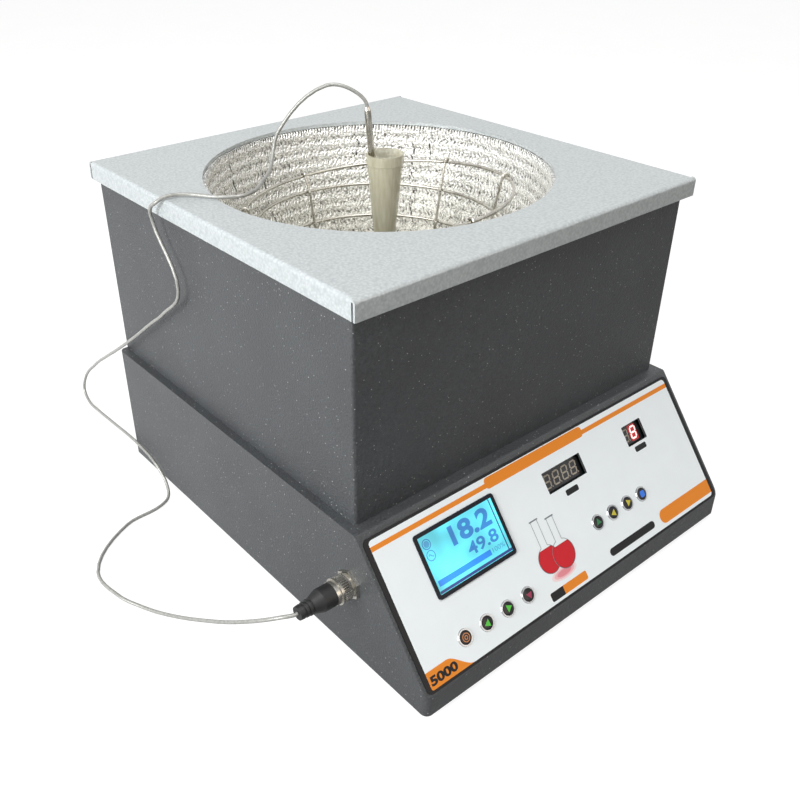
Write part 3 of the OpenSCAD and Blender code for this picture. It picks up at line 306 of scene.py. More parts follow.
# Bare or plated metal: fine lines left by rolling or turning, with a cloudy gloss
def metal(name, dark, light, roughness, grain_mm=0.6, stretch=(1, 1, 1), metallic=1.0):
    mat, shader = new_material(name, light, roughness, metallic)
    lines = grain(mat, grain_mm, 3.0, stretch)
    cloud = grain(mat, 14, 2.0)
    tone = calc(mat, "ADD", calc(mat, "MULTIPLY", lines, 0.6),
                calc(mat, "MULTIPLY", cloud, 0.4))
    link(mat, ramp(mat, tone, 0.35, 0.65, dark, light), shader.inputs["Base Color"])
    link(mat, spread(mat, cloud, 0.3, 0.7, roughness - 0.07, roughness + 0.09),
         shader.inputs["Roughness"])
    bump(mat, shader, lines, 0.08, 0.35)
    return mat


# Moulded or cast plastic and rubber: an even colour with the grain of the mould
def moulded(name, dark, light, roughness, grain_mm=0.5, relief=0.06, **sockets):
    mat, shader = new_material(name, light, roughness, **sockets)
    texture = grain(mat, grain_mm, 2.0)
    cloud = grain(mat, 9, 2.0)
    link(mat, ramp(mat, cloud, 0.35, 0.65, dark, light), shader.inputs["Base Color"])
    link(mat, spread(mat, texture, 0.3, 0.7, max(roughness - 0.08, 0.03), roughness + 0.1),
         shader.inputs["Roughness"])
    bump(mat, shader, texture, relief, 0.5)
    return mat


# Printed ink or film: almost even, with the slight cloud of a screen print
def printed(name, colour, roughness=0.32):
    mat, shader = new_material(name, colour, roughness, Specular_IOR_Level=0.25)
    cloud = grain(mat, 22, 2.0)
    shade = [round(int(colour[i:i + 2], 16) * 0.992) for i in (1, 3, 5)]
    darker = "#" + "".join(f"{c:02x}" for c in shade)
    link(mat, ramp(mat, cloud, 0.3, 0.7, darker, colour), shader.inputs["Base Color"])
    link(mat, spread(mat, cloud, 0.3, 0.7, roughness - 0.01, roughness + 0.02),
         shader.inputs["Roughness"])
    return mat


# A lit display element: coloured light through a smooth face; also a painted glow on printed key
# marks
def lit(name, colour, glow, base="#0a0a0a", roughness=0.15):
    mat, shader = new_material(name, base, roughness)
    cloud = grain(mat, 30, 1.0)
    link(mat, ramp(mat, cloud, 0.3, 0.7, base, colour), shader.inputs["Base Color"])
    shader.inputs["Emission Color"].default_value = linear(colour)
    shader.inputs["Emission Strength"].default_value = glow
    return mat


# Frosted polypropylene sleeve: milky beige, with the dim shape of the probe showing through
def frosted(name):
    mat, shader = new_material(name, "#c6c2aa", 0.35, 0.0, Alpha=0.58)
    streaks = grain(mat, 3, 2.0, (1, 1, 0.15))
    link(mat, ramp(mat, streaks, 0.3, 0.7, "#bdb99f", "#d2cfba"), shader.inputs["Base Color"])
    link(mat, spread(mat, streaks, 0.3, 0.7, 0.34, 0.5), shader.inputs["Roughness"])
    bump(mat, shader, grain(mat, 0.8, 2.0), 0.05, 0.4)
    return mat


# Mineral wool blanket: loose yellow-brown fibres with soft lumps
def wool(name):
    mat, shader = new_material(name, "#cfc08e", 0.95)
    fibres = grain(mat, 1.5, 4.0, (1, 1, 3))
    link(mat, ramp(mat, fibres, 0.35, 0.65, "#a8975f", "#e2d6a8"), shader.inputs["Base Color"])
    bump(mat, shader, fibres, 1.0, 0.8)
    return mat


casing_coat = powder_coat("textured_powder_coat", "#424548", "#4a4e51")
lid_enamel = hammertone("hammertone_enamel", "#b6bdbe", "#cfd4d5")
zinc_sheet = metal("zinc_plated_sheet", "#8d9294", "#b5b9bb", 0.38, 1.2, (1, 0.08, 1))
zinc_bright = metal("zinc_plated_screws", "#9a9d9f", "#c6c9ca", 0.3, 0.4)
rubber = moulded("black_rubber", "#121213", "#1d1d1f", 0.7, 0.4, 0.1)
pressed_aluminium = metal("spun_aluminium", "#9ea2a4", "#c4c7c8", 0.35, 0.7, (0.2, 0.2, 1))
resistance_wire = metal("oxidised_resistance_wire", "#4d4035", "#7d6a58", 0.55, 0.5)
wire_steel = metal("drawn_stainless_wire", "#a29f96", "#cfccc3", 0.27, 0.8)
probe_steel = metal("polished_stainless_tube", "#a8a49a", "#d2cec4", 0.2, 0.9, (1, 1, 0.1))
sleeve_plastic = frosted("frosted_polypropylene")
boot_rubber = moulded("moulded_boot_rubber", "#0d0d0e", "#19191b", 0.5, 0.5, 0.08)
nickel = metal("satin_nickel_plate", "#a5a29a", "#d8d5cd", 0.24, 0.5)
bezel_plastic = moulded("gloss_black_bezel", "#04060f", "#090d1e", 0.24, 0.6, 0.01,
                        Specular_IOR_Level=0.2)
board_mask = moulded("green_solder_mask", "#12422a", "#1d5c3c", 0.35, 0.6, 0.05)
black_abs = moulded("moulded_black_plastic", "#131314", "#1e1e20", 0.4, 0.5, 0.05)
key_black = moulded("polished_black_key", "#060608", "#0e0e11", 0.16, 0.8, 0.01,
                    Specular_IOR_Level=0.35)
ring_chrome = metal("grey_chrome_ring", "#9b9da0", "#d5d6d8", 0.2, 0.5)
motor_can = metal("drawn_steel_can", "#75787b", "#9b9ea1", 0.4, 0.8, (1, 1, 0.1))
shaft_steel = metal("ground_steel_shaft", "#a5a7a9", "#d0d2d3", 0.18, 0.4, (1, 1, 6))
turned_alu = metal("turned_aluminium", "#a9acad", "#d2d4d4", 0.28, 0.5, (0.3, 0.3, 3))
magnet_nickel = metal("nickel_plated_magnet", "#8b8d8e", "#b7b9ba", 0.2, 0.7)
core_iron = moulded("varnished_core_iron", "#3d2c1c", "#5f4630", 0.45, 1.2, 0.15, Metallic=0.3)
relay_blue = moulded("moulded_blue_relay", "#17366f", "#24509a", 0.35, 0.6, 0.04)
rocker_red = moulded("moulded_red_rocker", "#8d1a12", "#b22218", 0.28, 0.7, 0.02)
insulation_wool = wool("mineral_wool_blanket")
border_ink = printed("black_border_ink", "#0f1013", 0.34)
digit_window = moulded("smoked_digit_block", "#1b1b1e", "#29292c", 0.22, 0.8, 0.01)
screen_glow = lit("backlit_cyan_screen", "#62e2f4", 0.78)

NODE_FINISH = {
    casing_coat: ["base_housing", "upper_casing"],
    lid_enamel: ["top_plate"],
    zinc_sheet: ["base_plate", "carrier_plate", "heat_shield", "motor_plate"],
    zinc_bright: ["plate_screws", "foot_screws", "foot_nuts", "casing_screws", "casing_nuts",
                  "lid_nuts",
                  "inlet_screws", "board_spacers", "power_spacers", "motor_spacers"],
    rubber: ["rubber_feet"],
    pressed_aluminium: ["bowl_shell", "heat_sink"],
    resistance_wire: ["heating_element"],
    insulation_wool: ["insulation"],
    wire_steel: ["cage_rings", "cage_uprights"],
    probe_steel: ["temperature_probe"],
    sleeve_plastic: ["probe_sleeve"],
    boot_rubber: ["plug_boot"],
    nickel: ["plug_body", "coupling_ring", "socket_nut", "sensor_socket"],
    border_ink: ["control_panel"],
    bezel_plastic: ["lcd_frame"],
    screen_glow: ["lcd_screen"],
    digit_window: ["digit_display_4", "digit_display_2"],
    board_mask: ["display_board", "power_board"],
    black_abs: ["key_switches", "mains_inlet", "switch_frame"],
    key_black: ["key_set", "key_up", "key_down", "key_enter", "key_start", "key_raise",
                "key_lower", "key_menu"],
    ring_chrome: ["key_rings"],
    motor_can: ["stirrer_motor"],
    shaft_steel: ["motor_shaft"],
    turned_alu: ["magnet_carrier"],
    magnet_nickel: ["stirrer_magnets"],
    core_iron: ["transformer"],
    relay_blue: ["relay"],
    rocker_red: ["rocker"],
}
for finish, names in NODE_FINISH.items():
    for name in names:
        paint(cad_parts[name], finish)


# ---------------------------------------------------------------- knitted heating bowl

FABRIC_R = 0.1535
FABRIC_T = 0.004
BOWL_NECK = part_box("heating_fabric")[1][2] - BOWL.z
FLOOR_R = 0.018
ROWS = 21
ROW_POINTS = 6
SWEEP = BOWL_NECK + FABRIC_R * math.acos(FLOOR_R / FABRIC_R)
ROW_ARC = SWEEP / ROWS
SPIN_STEPS = 640
LOOP_PITCH = 0.0042
STITCH_PITCH = 0.0031
STITCHED = 0.011


def row_point(s, inward=0.0):
    """Radius and height on the bowl's inner face, a length s down from the rim."""
    r = FABRIC_R - inward
    if s < BOWL_NECK:
        return r, BOWL_NECK - s
    a = (s - BOWL_NECK) / FABRIC_R
    return r * math.cos(a), -r * math.sin(a)


def spin_profile(points, centre, steps):
    """Spins a profile of radius and height about an upright axis."""
    deselect()
    bpy.ops.mesh.primitive_plane_add(size=MM, location=centre)
    obj = bpy.context.object
    bpy.ops.object.mode_set(mode="EDIT")
    bpy.ops.mesh.merge(type="CENTER")
    bpy.ops.transform.translate(value=(points[0][0], 0, points[0][1]))
    for (r0, z0), (r1, z1) in zip(points, points[1:]):
        bpy.ops.mesh.extrude_region_move(
            TRANSFORM_OT_translate={"value": (r1 - r0, 0, z1 - z0)})
    bpy.ops.mesh.select_all(action="SELECT")
    bpy.ops.mesh.spin(steps=steps, angle=2 * math.pi, center=centre, axis=(0, 0, 1))
    bpy.ops.mesh.select_all(action="SELECT")
    bpy.ops.mesh.remove_doubles(threshold=2e-6)
    bpy.ops.mesh.normals_make_consistent(inside=False)
    bpy.ops.object.mode_set(mode="OBJECT")
    return obj


# Long splits between the braids run down from the rim: angle, first and last row
SPLITS = [(1.02, 0.5, 3.2), (0.62, 1.5, 9.0), (0.50, 0.2, 2.6), (1.75, 3.0, 8.5),
          (2.35, 6.0, 13.0),
          (2.05, 1.0, 4.0), (3.3, 4.0, 9.5), (4.1, 2.0, 7.0), (5.2, 3.5, 10.0)]


SPLIT_WANDER = 0.035
SPLIT_WIDTH = 0.009


def split_depth(angle, row):
    """How far a point lies in one of the wandering splits, from 0 to 1."""
    deepest = 0.0
    for k, (middle, first, last) in enumerate(SPLITS):
        if not first < row < last:
            continue
        wander = SPLIT_WANDER * noise.noise(Vector((row * 0.9, k * 7.3, 0)))
        off = abs((angle - middle - wander + math.pi) % (2 * math.pi) - math.pi)
        width = SPLIT_WIDTH * (0.35 + abs(noise.noise(Vector((row * 1.7, k * 3.1, 5)))))
        deepest = max(deepest, 1 - off / width)
    return max(0.0, deepest)


# Crumples of the yarn: across, down, and down for the finer ones
CRUMPLE_ACROSS = 0.0062
CRUMPLE_DOWN = 0.0045
FINE_DOWN = 0.0021
LEAST_LOOPS = 6


def knitted_bowl():
    """A bowl of braided rows, each swelling inward, with crinkles and a few splits."""
    inner = [row_point(i * ROW_ARC / ROW_POINTS) for i in range(ROWS * ROW_POINTS + 1)]
    floor_z = inner[-1][1]
    foot = [(FLOOR_R * 0.5, floor_z), (0.0, floor_z)]
    back_r = FABRIC_R + FABRIC_T
    back = [(back_r * math.sin(a), -back_r * math.cos(a))
            for a in (math.pi / 2 * k / 10 for k in range(11))]
    obj = spin_profile(inner + foot + back + [(back_r, BOWL_NECK), inner[0]], BOWL, SPIN_STEPS)
    mesh = obj.data
    row_shade_values = mesh.attributes.new("painted_row_shade", "FLOAT", "POINT")
    splits = mesh.attributes.new("split", "FLOAT", "POINT")
    for vertex in mesh.vertices:
        x, y, z = vertex.co
        r = math.hypot(x, y)
        reach = r if z > 0 else math.hypot(r, z)
        angle = math.atan2(y, x) % (2 * math.pi)
        s = BOWL_NECK - z if z > 0 else BOWL_NECK + FABRIC_R * math.atan2(-z, r)
        row = s / ROW_ARC
        if reach > FABRIC_R + 0.5 * MM or row > ROWS + 0.2:
            continue
        lean = 0.22 * noise.noise(Vector((angle * 2.2, math.floor(row) * 1.7, 2.0)))
        swell = math.sin(math.pi * (row + lean * math.sin(math.pi * (row % 1)))) ** 2
        across = angle * max(r, 0.02) / CRUMPLE_ACROSS
        crinkle = noise.noise(Vector((across, s / CRUMPLE_DOWN, 0))) * 0.55 \
            + noise.noise(Vector((across * 2.1, s / FINE_DOWN, 4))) * 0.3
        hollow = split_depth(angle, row)
        edge = min(1.0, s / (2 * MM))
        inward = (0.25 + 0.75 * swell + 0.45 * crinkle - 1.1 * hollow) * MM * edge
        scale = (reach - inward) / reach
        vertex.co = (x * scale, y * scale, z if z > 0 else z * scale)
        # The row shade is low between the rows and darkens the colour there: painted shade
        row_shade_values.data[vertex.index].value = min(
            1.0, max(0.0, 0.35 + 0.6 * swell + 0.5 * crinkle))
        splits.data[vertex.index].value = hollow
    # Each row's loops are counted round it, so that a loop keeps its size down to the floor
    uv = mesh.uv_layers.new(name="loops")
    for face in mesh.polygons:
        c = face.center
        r = math.hypot(c.x, c.y)
        s = BOWL_NECK - c.z if c.z > 0 else BOWL_NECK + FABRIC_R * math.atan2(-c.z, r)
        row = math.floor(s / ROW_ARC)
        loops = max(
            LEAST_LOOPS, round(2 * math.pi * row_point((row + 0.5) * ROW_ARC)[0] / LOOP_PITCH)
        ) if row < ROWS else LEAST_LOOPS
        middle = math.atan2(c.y, c.x) % (2 * math.pi)
        for corner in face.loop_indices:
            co = mesh.vertices[mesh.loops[corner].vertex_index].co
            angle = math.atan2(co.y, co.x) % (2 * math.pi)
            if angle - middle > math.pi:
                angle -= 2 * math.pi
            if middle - angle > math.pi:
                angle += 2 * math.pi
            along = BOWL_NECK - co.z if co.z > 0 else BOWL_NECK + FABRIC_R * math.atan2(
                -co.z, math.hypot(co.x, co.y))
            uv.data[corner].uv = (angle * loops / (2 * math.pi), along / ROW_ARC)
    return obj


# Knitted glass-fibre yarn over the element: glassy silver-white, crumpled like foil, with
# painted shade between the loops, in the splits and deeper in the bowl
def knit_material():
    mat, shader = new_material("knitted_glass_fibre", "#e9e8e2", 0.34, 0.6,
                               Specular_IOR_Level=0.7)
    uv = add(mat, "UVMap", uv_map="loops").outputs["UV"]
    wander = grain(mat, 9, 2.0)
    parts = add(mat, "SeparateXYZ", {"Vector": uv})
    up = calc(mat, "ABSOLUTE",
              calc(mat, "SUBTRACT", calc(mat, "FRACT", parts.outputs["Y"]), 0.5))
    turn = calc(mat, "ADD", parts.outputs["X"], calc(mat, "MULTIPLY", up, 1.1))
    turn = calc(mat, "ADD", turn, calc(mat, "MULTIPLY", wander, 2.6))
    strand = calc(mat, "ABSOLUTE", calc(mat, "SINE", calc(mat, "MULTIPLY", turn, math.pi)))
    crease = add(mat, "TexVoronoi",
                 {"Vector": object_point(mat), "Scale": 1 / (2.6 * MM)}).outputs["Distance"]
    crumple = grain(mat, 3.4, 3.0, roughness=0.6)
    yarn = grain(mat, 0.8, 3.0)
    height = calc(mat, "ADD", calc(mat, "MULTIPLY", strand, 0.3),
                  calc(mat, "MULTIPLY", crease, 0.5))
    height = calc(mat, "ADD", height, calc(mat, "MULTIPLY", crumple, 0.9))
    height = calc(mat, "ADD", height, calc(mat, "MULTIPLY", yarn, 0.25))
    painted_row_shade = add(mat, "Attribute", attribute_name="painted_row_shade").outputs["Fac"]
    split = add(mat, "Attribute", attribute_name="split").outputs["Fac"]
    # Stitches that bind the first row to the rim
    stitch = calc(mat, "SINE",
                  calc(mat, "MULTIPLY", parts.outputs["X"],
                       2 * math.pi * LOOP_PITCH / STITCH_PITCH))
    near_rim = spread(mat, parts.outputs["Y"], 0, STITCHED / ROW_ARC, 1, 0)
    height = calc(mat, "ADD", height,
                  calc(mat, "MULTIPLY", calc(mat, "MULTIPLY", stitch, near_rim), 0.35))
    # Colour follows the relief and the row shade: painted shade in the hollows and between rows,
    # lighter on the crests
    tone = calc(mat, "ADD", calc(mat, "MULTIPLY", height, 0.62),
                calc(mat, "MULTIPLY", painted_row_shade, 0.3))
    # Lighter near the rim and darker deeper in the bowl: painted shade
    depth = add(mat, "SeparateXYZ", {"Vector": object_point(mat)}).outputs["Z"]
    bright = ramp(mat, depth, BOWL.z - 0.11, BOWL.z - 0.01, "#c9c7bb", "#fbfbf8")
    body = ramp(mat, tone, 0.5, 0.84, "#4f4c43", bright)
    # The splits are painted near black: painted shade inside them
    link(mat, ramp(mat, split, 0.1, 0.6, body, "#23211d"), shader.inputs["Base Color"])
    link(mat, spread(mat, yarn, 0.3, 0.7, 0.2, 0.48), shader.inputs["Roughness"])
    bump(mat, shader, height, 1.7, 1.0)
    return mat


bowl = finish_piece(knitted_bowl(), "knitted_bowl", knit_material())
smooth(bowl, 60)
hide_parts("heating_fabric")


# ---------------------------------------------------------------- prints on the sloped panel

def rounded_box(left, top, right, bottom, r, steps=5):
    """A rounded rectangle's outline; each corner takes its own radius where r is a list."""
    radii = r if isinstance(r, (list, tuple)) else [r] * 4
    corners = ((right, bottom, -1, -1, 0), (left, bottom, 1, -1, 90), (left, top, 1, 1, 180),
               (right, top, -1, 1, 270))
    points = []
    for (x, y, sx, sy, start), radius in zip(corners, radii):
        if radius == 0:
            points.append((x, y))
            continue
        for k in range(steps + 1):
            a = math.radians(start + 90 * k / steps)
            points.append((x + sx * radius + radius * math.cos(a),
                           y + sy * radius + radius * math.sin(a)))
    return points


def round_disc(u, d, r, steps=32):
    return [(u + r * math.cos(2 * math.pi * k / steps),
             d + r * math.sin(2 * math.pi * k / steps))
            for k in range(steps)]


def print_shape(name, outlines, mat, level, body="root", thick=INK,
                plane=PANEL):
    """A flat print, on the panel or another plane, from outlines in millimetres across and down."""
    curve = bpy.data.curves.new(name, "CURVE")
    curve.dimensions = "2D"
    curve.fill_mode = "BOTH"
    curve.extrude = thick / 2 * MM
    for outline in outlines:
        spline = curve.splines.new("POLY")
        spline.points.add(len(outline) - 1)
        for point, (u, d) in zip(spline.points, outline):
            point.co = (u * MM, -d * MM, 0, 1)
        spline.use_cyclic_u = True
    obj = bpy.data.objects.new(name, curve)
    bpy.context.collection.objects.link(obj)
    activate(obj)
    bpy.ops.object.convert(target="MESH")
    obj = bpy.context.object
    obj.matrix_world = plane @ Matrix.Translation((0, 0, (level + thick / 2) * MM))
    return finish_piece(obj, name, mat, body)


def print_number(name, text, box, mat, level, bold=0.02):
    """Plain digits that fill a box of left, top, right and bottom on the panel."""
    deselect()
    bpy.ops.object.text_add()
    obj = bpy.context.object
    obj.data.body = text
    obj.data.extrude = 0.5
    obj.data.offset = bold
    bpy.ops.object.convert(target="MESH")
    obj = bpy.context.object
    xs = [v.co.x for v in obj.data.vertices]
    ys = [v.co.y for v in obj.data.vertices]
    left, top, right, bottom = box
    sx = (right - left) / (max(xs) - min(xs)) * MM
    sy = (bottom - top) / (max(ys) - min(ys)) * MM
    obj.matrix_world = (PANEL @ Matrix.Translation((left * MM, -bottom * MM,
                                                    (level + INK / 2) * MM))
                        @ Matrix.Diagonal((sx, sy, INK * MM, 1)) @ Matrix.Translation((-min(xs),
                                -min(ys), 0)))
    return finish_piece(obj, name, mat)


film_white = printed("white_film", "#f1f8fb", 0.3)
ink_orange = printed("orange_ink", "#e98a28", 0.34)
ink_black = printed("black_ink", "#101114", 0.36)
ink_grey = printed("grey_line_ink", "#7f878d", 0.34)
ink_red = printed("red_ink", "#cf1f2b", 0.3)
ink_dark_red = printed("dark_red_ink", "#9c1620", 0.3)
ink_pale_pink = printed("faint_pink_ink", "#f8dfe1", 0.32)
ink_pink = printed("pink_ink", "#f2bcc2", 0.32)
ink_rose = printed("rose_ink", "#e88f99", 0.32)

FIELD = (-186.5, 7.3, 186.5, 129.7)
WINDOW_4 = (21.4 - 24.9, 38.2 - 9.7, 21.4 + 24.9, 38.2 + 9.7)
WINDOW_2 = (121 - 13.7, 38.2 - 9.7, 121 + 13.7, 38.2 + 9.7)
LEVEL_1 = FILM_FACE + INK
LEVEL_2 = FILM_FACE + 2 * INK

print_shape("white_field",
            [rounded_box(*FIELD, 3.5), rounded_box(*WINDOW_4, 0.8),
             rounded_box(*WINDOW_2, 0.8)],
            film_white, FILM_FACE)
print_shape("orange_stripe", [rounded_box(FIELD[0], 12, FIELD[2], 16, 0)], ink_orange, LEVEL_1)
print_shape("title_tab", [rounded_box(-63.7, 8, 60, 17.5, 3.4)], ink_orange, LEVEL_2)
print_shape("right_tab", [rounded_box(107.5, 113.5, FIELD[2], 126.7, [0, 6.6, 6.6, 0])],
            ink_orange, LEVEL_1)
print_shape("black_pill", [rounded_box(33.5, 117, 98, 124, 3.4)], ink_black, LEVEL_1)
print_shape("rating_pill", [rounded_box(-47, 119.7, -1, 127.3, 1.6)], ink_orange, LEVEL_1)
print_shape("rating_pill_end", [rounded_box(-47, 119.7, -31, 127.3, [0, 1.6, 1.6, 0])],
            ink_black, LEVEL_2)
print_shape("strip_below_digits", [rounded_box(14, 51.7, 30, 57, 1.4)], ink_black, LEVEL_1)
print_shape("strip_below_counter", [rounded_box(113.5, 50.5, 129.5, 55.7, 1.4)], ink_black,
            LEVEL_1)

# Volume tab: flat along its top, then down in an S to the panel's edge
hump = [(FIELD[0], FIELD[3] - 1.2), (FIELD[0] + 1.2, FIELD[3])]
hump += [(-141 - 24 * t,
          FIELD[3] - (FIELD[3] - 115.5) * (3 * t * t - 2 * t ** 3))
          for t in (k / 12 for k in range(13))]
hump += [(FIELD[0], 115.5)]
print_shape("volume_tab", [hump], ink_orange, LEVEL_1)
print_number("volume_number", "5000", (-185, 119.6, -157, 127.2), ink_black, LEVEL_2, 0.045)


# Glassware picture: two round-bottomed flasks, half filled with red, over their pink reflection
def flask_outline(u, d, r, neck, top, inset=0.0):
    """A round flask about its middle, with an open neck of half width neck up to top."""
    radius, half = r - inset, neck - inset
    start = math.asin(half / radius)
    turns = [start + (2 * math.pi - 2 * start) * k / 40 for k in range(41)]
    return [(u + half, top)] + [(u + radius * math.sin(t),
                                 d - radius * math.cos(t)) for t in turns] + [(u - half, top)]


def liquid_outline(u, d, r, level):
    """The part of a round flask below a level."""
    start = math.acos((d - level) / r)
    turns = [start + (2 * math.pi - 2 * start) * k / 32 for k in range(33)]
    return [(u + r * math.sin(t), d - r * math.cos(t)) for t in turns]


def oval(u, d, half_width, half_height, steps=40):
    turns = (2 * math.pi * k / steps for k in range(steps))
    return [(u + half_width * math.cos(t), d + half_height * math.sin(t)) for t in turns]


FLASK_LINE = 0.4
FLASKS = {"left": (-32.4, 94.6, 12.3, 4.0, 59.5, 85),
          "right": (-15.2, 97.0, 12.9, 3.9, 63.5, 88.5)}
for fade, (wide, high) in enumerate(((15.5, 5.2), (12.5, 3.8), (9, 2.6))):
    print_shape(f"reflection_{fade}", [oval(-23, 110.8, wide, high)],
                (ink_pale_pink, ink_pink, ink_rose)[fade],
                LEVEL_1 + fade * INK / 4, thick=INK / 4)
for layer, (side, (u, d, r, neck, top, level)) in enumerate(FLASKS.items()):
    under = LEVEL_2 + 2 * layer * INK
    print_shape("liquid_" + side, [liquid_outline(u, d, r - FLASK_LINE, level)], ink_red, under)
    print_shape("liquid_rim_" + side, [liquid_outline(u, d, r - FLASK_LINE, level),
                                       liquid_outline(u, d, r - 2.4 * FLASK_LINE,
                                                      level + FLASK_LINE)],
                ink_dark_red, under + INK / 2)
    print_shape("glass_" + side, [flask_outline(u, d, r, neck, top),
                                  flask_outline(u, d, r, neck, top + FLASK_LINE / 2,
                                                FLASK_LINE)], ink_grey, under + INK)
    print_shape("lip_" + side,
                [rounded_box(u - neck - 1.3, top - 0.7, u + neck + 1.3, top + 0.5, 0.5)],
                ink_grey, under + INK)


# ---------------------------------------------------------------- displays

screen_blue = lit("screen_figures_blue", "#2f86d2", 0.7)
screen_bar = lit("screen_bar_blue", "#1b86ea", 0.8)
# Navy for the strips along the screen's bottom and right edges: painted shadow of the screen's
# depth
screen_painted_shadow = lit("screen_edge_painted_shadow", "#1c3f8c", 0.5)
screen_dim = lit("screen_dim_blue", "#49a8dc", 0.7)
SCREEN = (-105.3 - 40.4, 47.6 - 23.4, -105.3 + 40.4, 47.6 + 23.4)
SCREEN_1 = GLASS_FACE
# Strips of painted shadow along the screen's bottom and right edges
print_shape("screen_foot_shadow",
            [[(SCREEN[0], SCREEN[3] - 2.6), (SCREEN[2], SCREEN[3] - 2.6),
              (SCREEN[2], SCREEN[3] - 0.3),
                             (SCREEN[0], SCREEN[3] - 0.3)]], screen_painted_shadow, SCREEN_1)
print_shape("screen_side_shadow", [[(SCREEN[2] - 3.6, SCREEN[1]), (SCREEN[2] - 2.6, SCREEN[1]),
                             (SCREEN[2] - 2.6, SCREEN[3] - 2.6),
                             (SCREEN[2] - 3.6, SCREEN[3] - 2.6)]],
            screen_painted_shadow, SCREEN_1)
print_number("screen_upper_number", "18.2", (-116.7, 27.2, -72.5, 43.5), screen_blue, SCREEN_1,
             0.035)
print_number("screen_lower_number", "49.8", (-105.7, 46.7, -72.5, 57.5), screen_blue, SCREEN_1,
             0.02)
print_shape("screen_level_bar", [rounded_box(-144, 60.5, -85.7, 65.2, 0.4)], screen_bar,
            SCREEN_1)
print_number("screen_percent", "100%", (-83.7, 60.6, -70, 64.4), screen_dim, SCREEN_1, 0.0)
print_shape("screen_ring_upper", [round_disc(-140, 31, 4.3), round_disc(-140, 31, 3.5)],
            screen_blue, SCREEN_1)
print_shape("screen_dot_upper", [round_disc(-140, 31, 2.8)], screen_dim, SCREEN_1)
print_shape("screen_ring_lower", [round_disc(-140, 40.4, 4.3), round_disc(-140, 40.4, 3.7)],
            screen_blue, SCREEN_1)
print_shape("screen_wave_lower",
            [[(-142.3, 40), (-141, 38.8), (-139.6, 40), (-138.2, 41.4), (-137.6, 40.8),
                                   (-137.6, 41.6), (-138.2, 42.2), (-139.9, 40.8), (-141, 39.7),
                                   (-142.3, 40.8)]],
            screen_dim, SCREEN_1)

# Bars of a seven-part digit, named by their ends on a grid of one across and two down
SEGMENTS = [((0, 0), (1, 0)), ((1, 0), (1, 1)), ((1, 1), (1, 2)), ((0, 2), (1, 2)),
            ((0, 1), (0, 2)), ((0, 0), (0, 1)), ((0, 1), (1, 1))]


# Room between two bars, and the radius of the point
BAR_GAP = 0.2
POINT_R = 0.62


def digit_bars(left, top, width, height, thick=1.35, slant=0.16):
    """The seven bars of a digit, leaning to the right, and its point."""
    bars = []
    half = thick / 2
    for (x0, y0), (x1, y1) in SEGMENTS:
        ax, ay = left + half + x0 * (width - thick), top + half + y0 * (height - thick) / 2
        bx, by = left + half + x1 * (width - thick), top + half + y1 * (height - thick) / 2
        if ay == by:
            bar = [(ax + BAR_GAP, ay), (ax + BAR_GAP + half, ay - half),
                   (bx - BAR_GAP - half, ay - half), (bx - BAR_GAP, ay),
                   (bx - BAR_GAP - half, ay + half), (ax + BAR_GAP + half, ay + half)]
        else:
            bar = [(ax, ay + BAR_GAP), (ax + half, ay + BAR_GAP + half),
                   (ax + half, by - BAR_GAP - half), (ax, by - BAR_GAP),
                   (ax - half, by - BAR_GAP - half), (ax - half, ay + BAR_GAP + half)]
        bars.append([(u + slant * (top + height / 2 - d), d) for u, d in bar])
    bars.append(round_disc(left + width + 1.0 - slant * height / 2, top + height - 0.7,
                           POINT_R, 12))
    return bars


unlit_segment = printed("unlit_digit_bars", "#aaa193", 0.35)
lit_segment = lit("red_lit_digit_bars", "#ffd2ce", 1.5)
red_glow = lit("red_digit_glow", "#b3141c", 0.6)
DIGIT_TOP, DIGIT_W, DIGIT_H, DIGIT_PITCH = 32.2, 8.2, 12.4, 11.4
dark_digits = [bar for k in range(4) for bar in digit_bars(-0.4 + k * DIGIT_PITCH, DIGIT_TOP,
        DIGIT_W, DIGIT_H)]
print_shape("unlit_digits", dark_digits, unlit_segment, DIGIT_FACE)
print_shape("counter_unlit_digit", digit_bars(109.6, DIGIT_TOP, DIGIT_W, DIGIT_H),
            unlit_segment, DIGIT_FACE)
print_shape("counter_glow",
            [rounded_box(119.4, DIGIT_TOP - 1.6, 130.4, DIGIT_TOP + DIGIT_H + 1.6, 2)],
            red_glow, DIGIT_FACE)
print_shape("counter_lit_digit", digit_bars(121, DIGIT_TOP, DIGIT_W, DIGIT_H, 1.6)[:7],
            lit_segment, DIGIT_FACE + INK)


# ---------------------------------------------------------------- marks on the keys

LEFT_KEYS = [(-140.8 + 24.2 * i, 109.5) for i in range(4)]
RIGHT_KEYS = [(34.5 + 21 * i, 90.7) for i in range(4)]
MARK_LEVEL = KEY_TOP - 0.14
MARK_T = 0.17
# The caps sit a little turned in their switches
KEY_TURN = 24


def arrow(u, d, size, angle):
    """A triangle that points up its key at 0 degrees and turns clockwise."""
    a = math.radians(angle + KEY_TURN)
    corners = [(0, -0.95 * size), (0.95 * size, 0.75 * size), (-0.95 * size, 0.75 * size)]
    return [(u + x * math.cos(a) - y * math.sin(a),
             d + x * math.sin(a) + y * math.cos(a)) for x, y in corners]


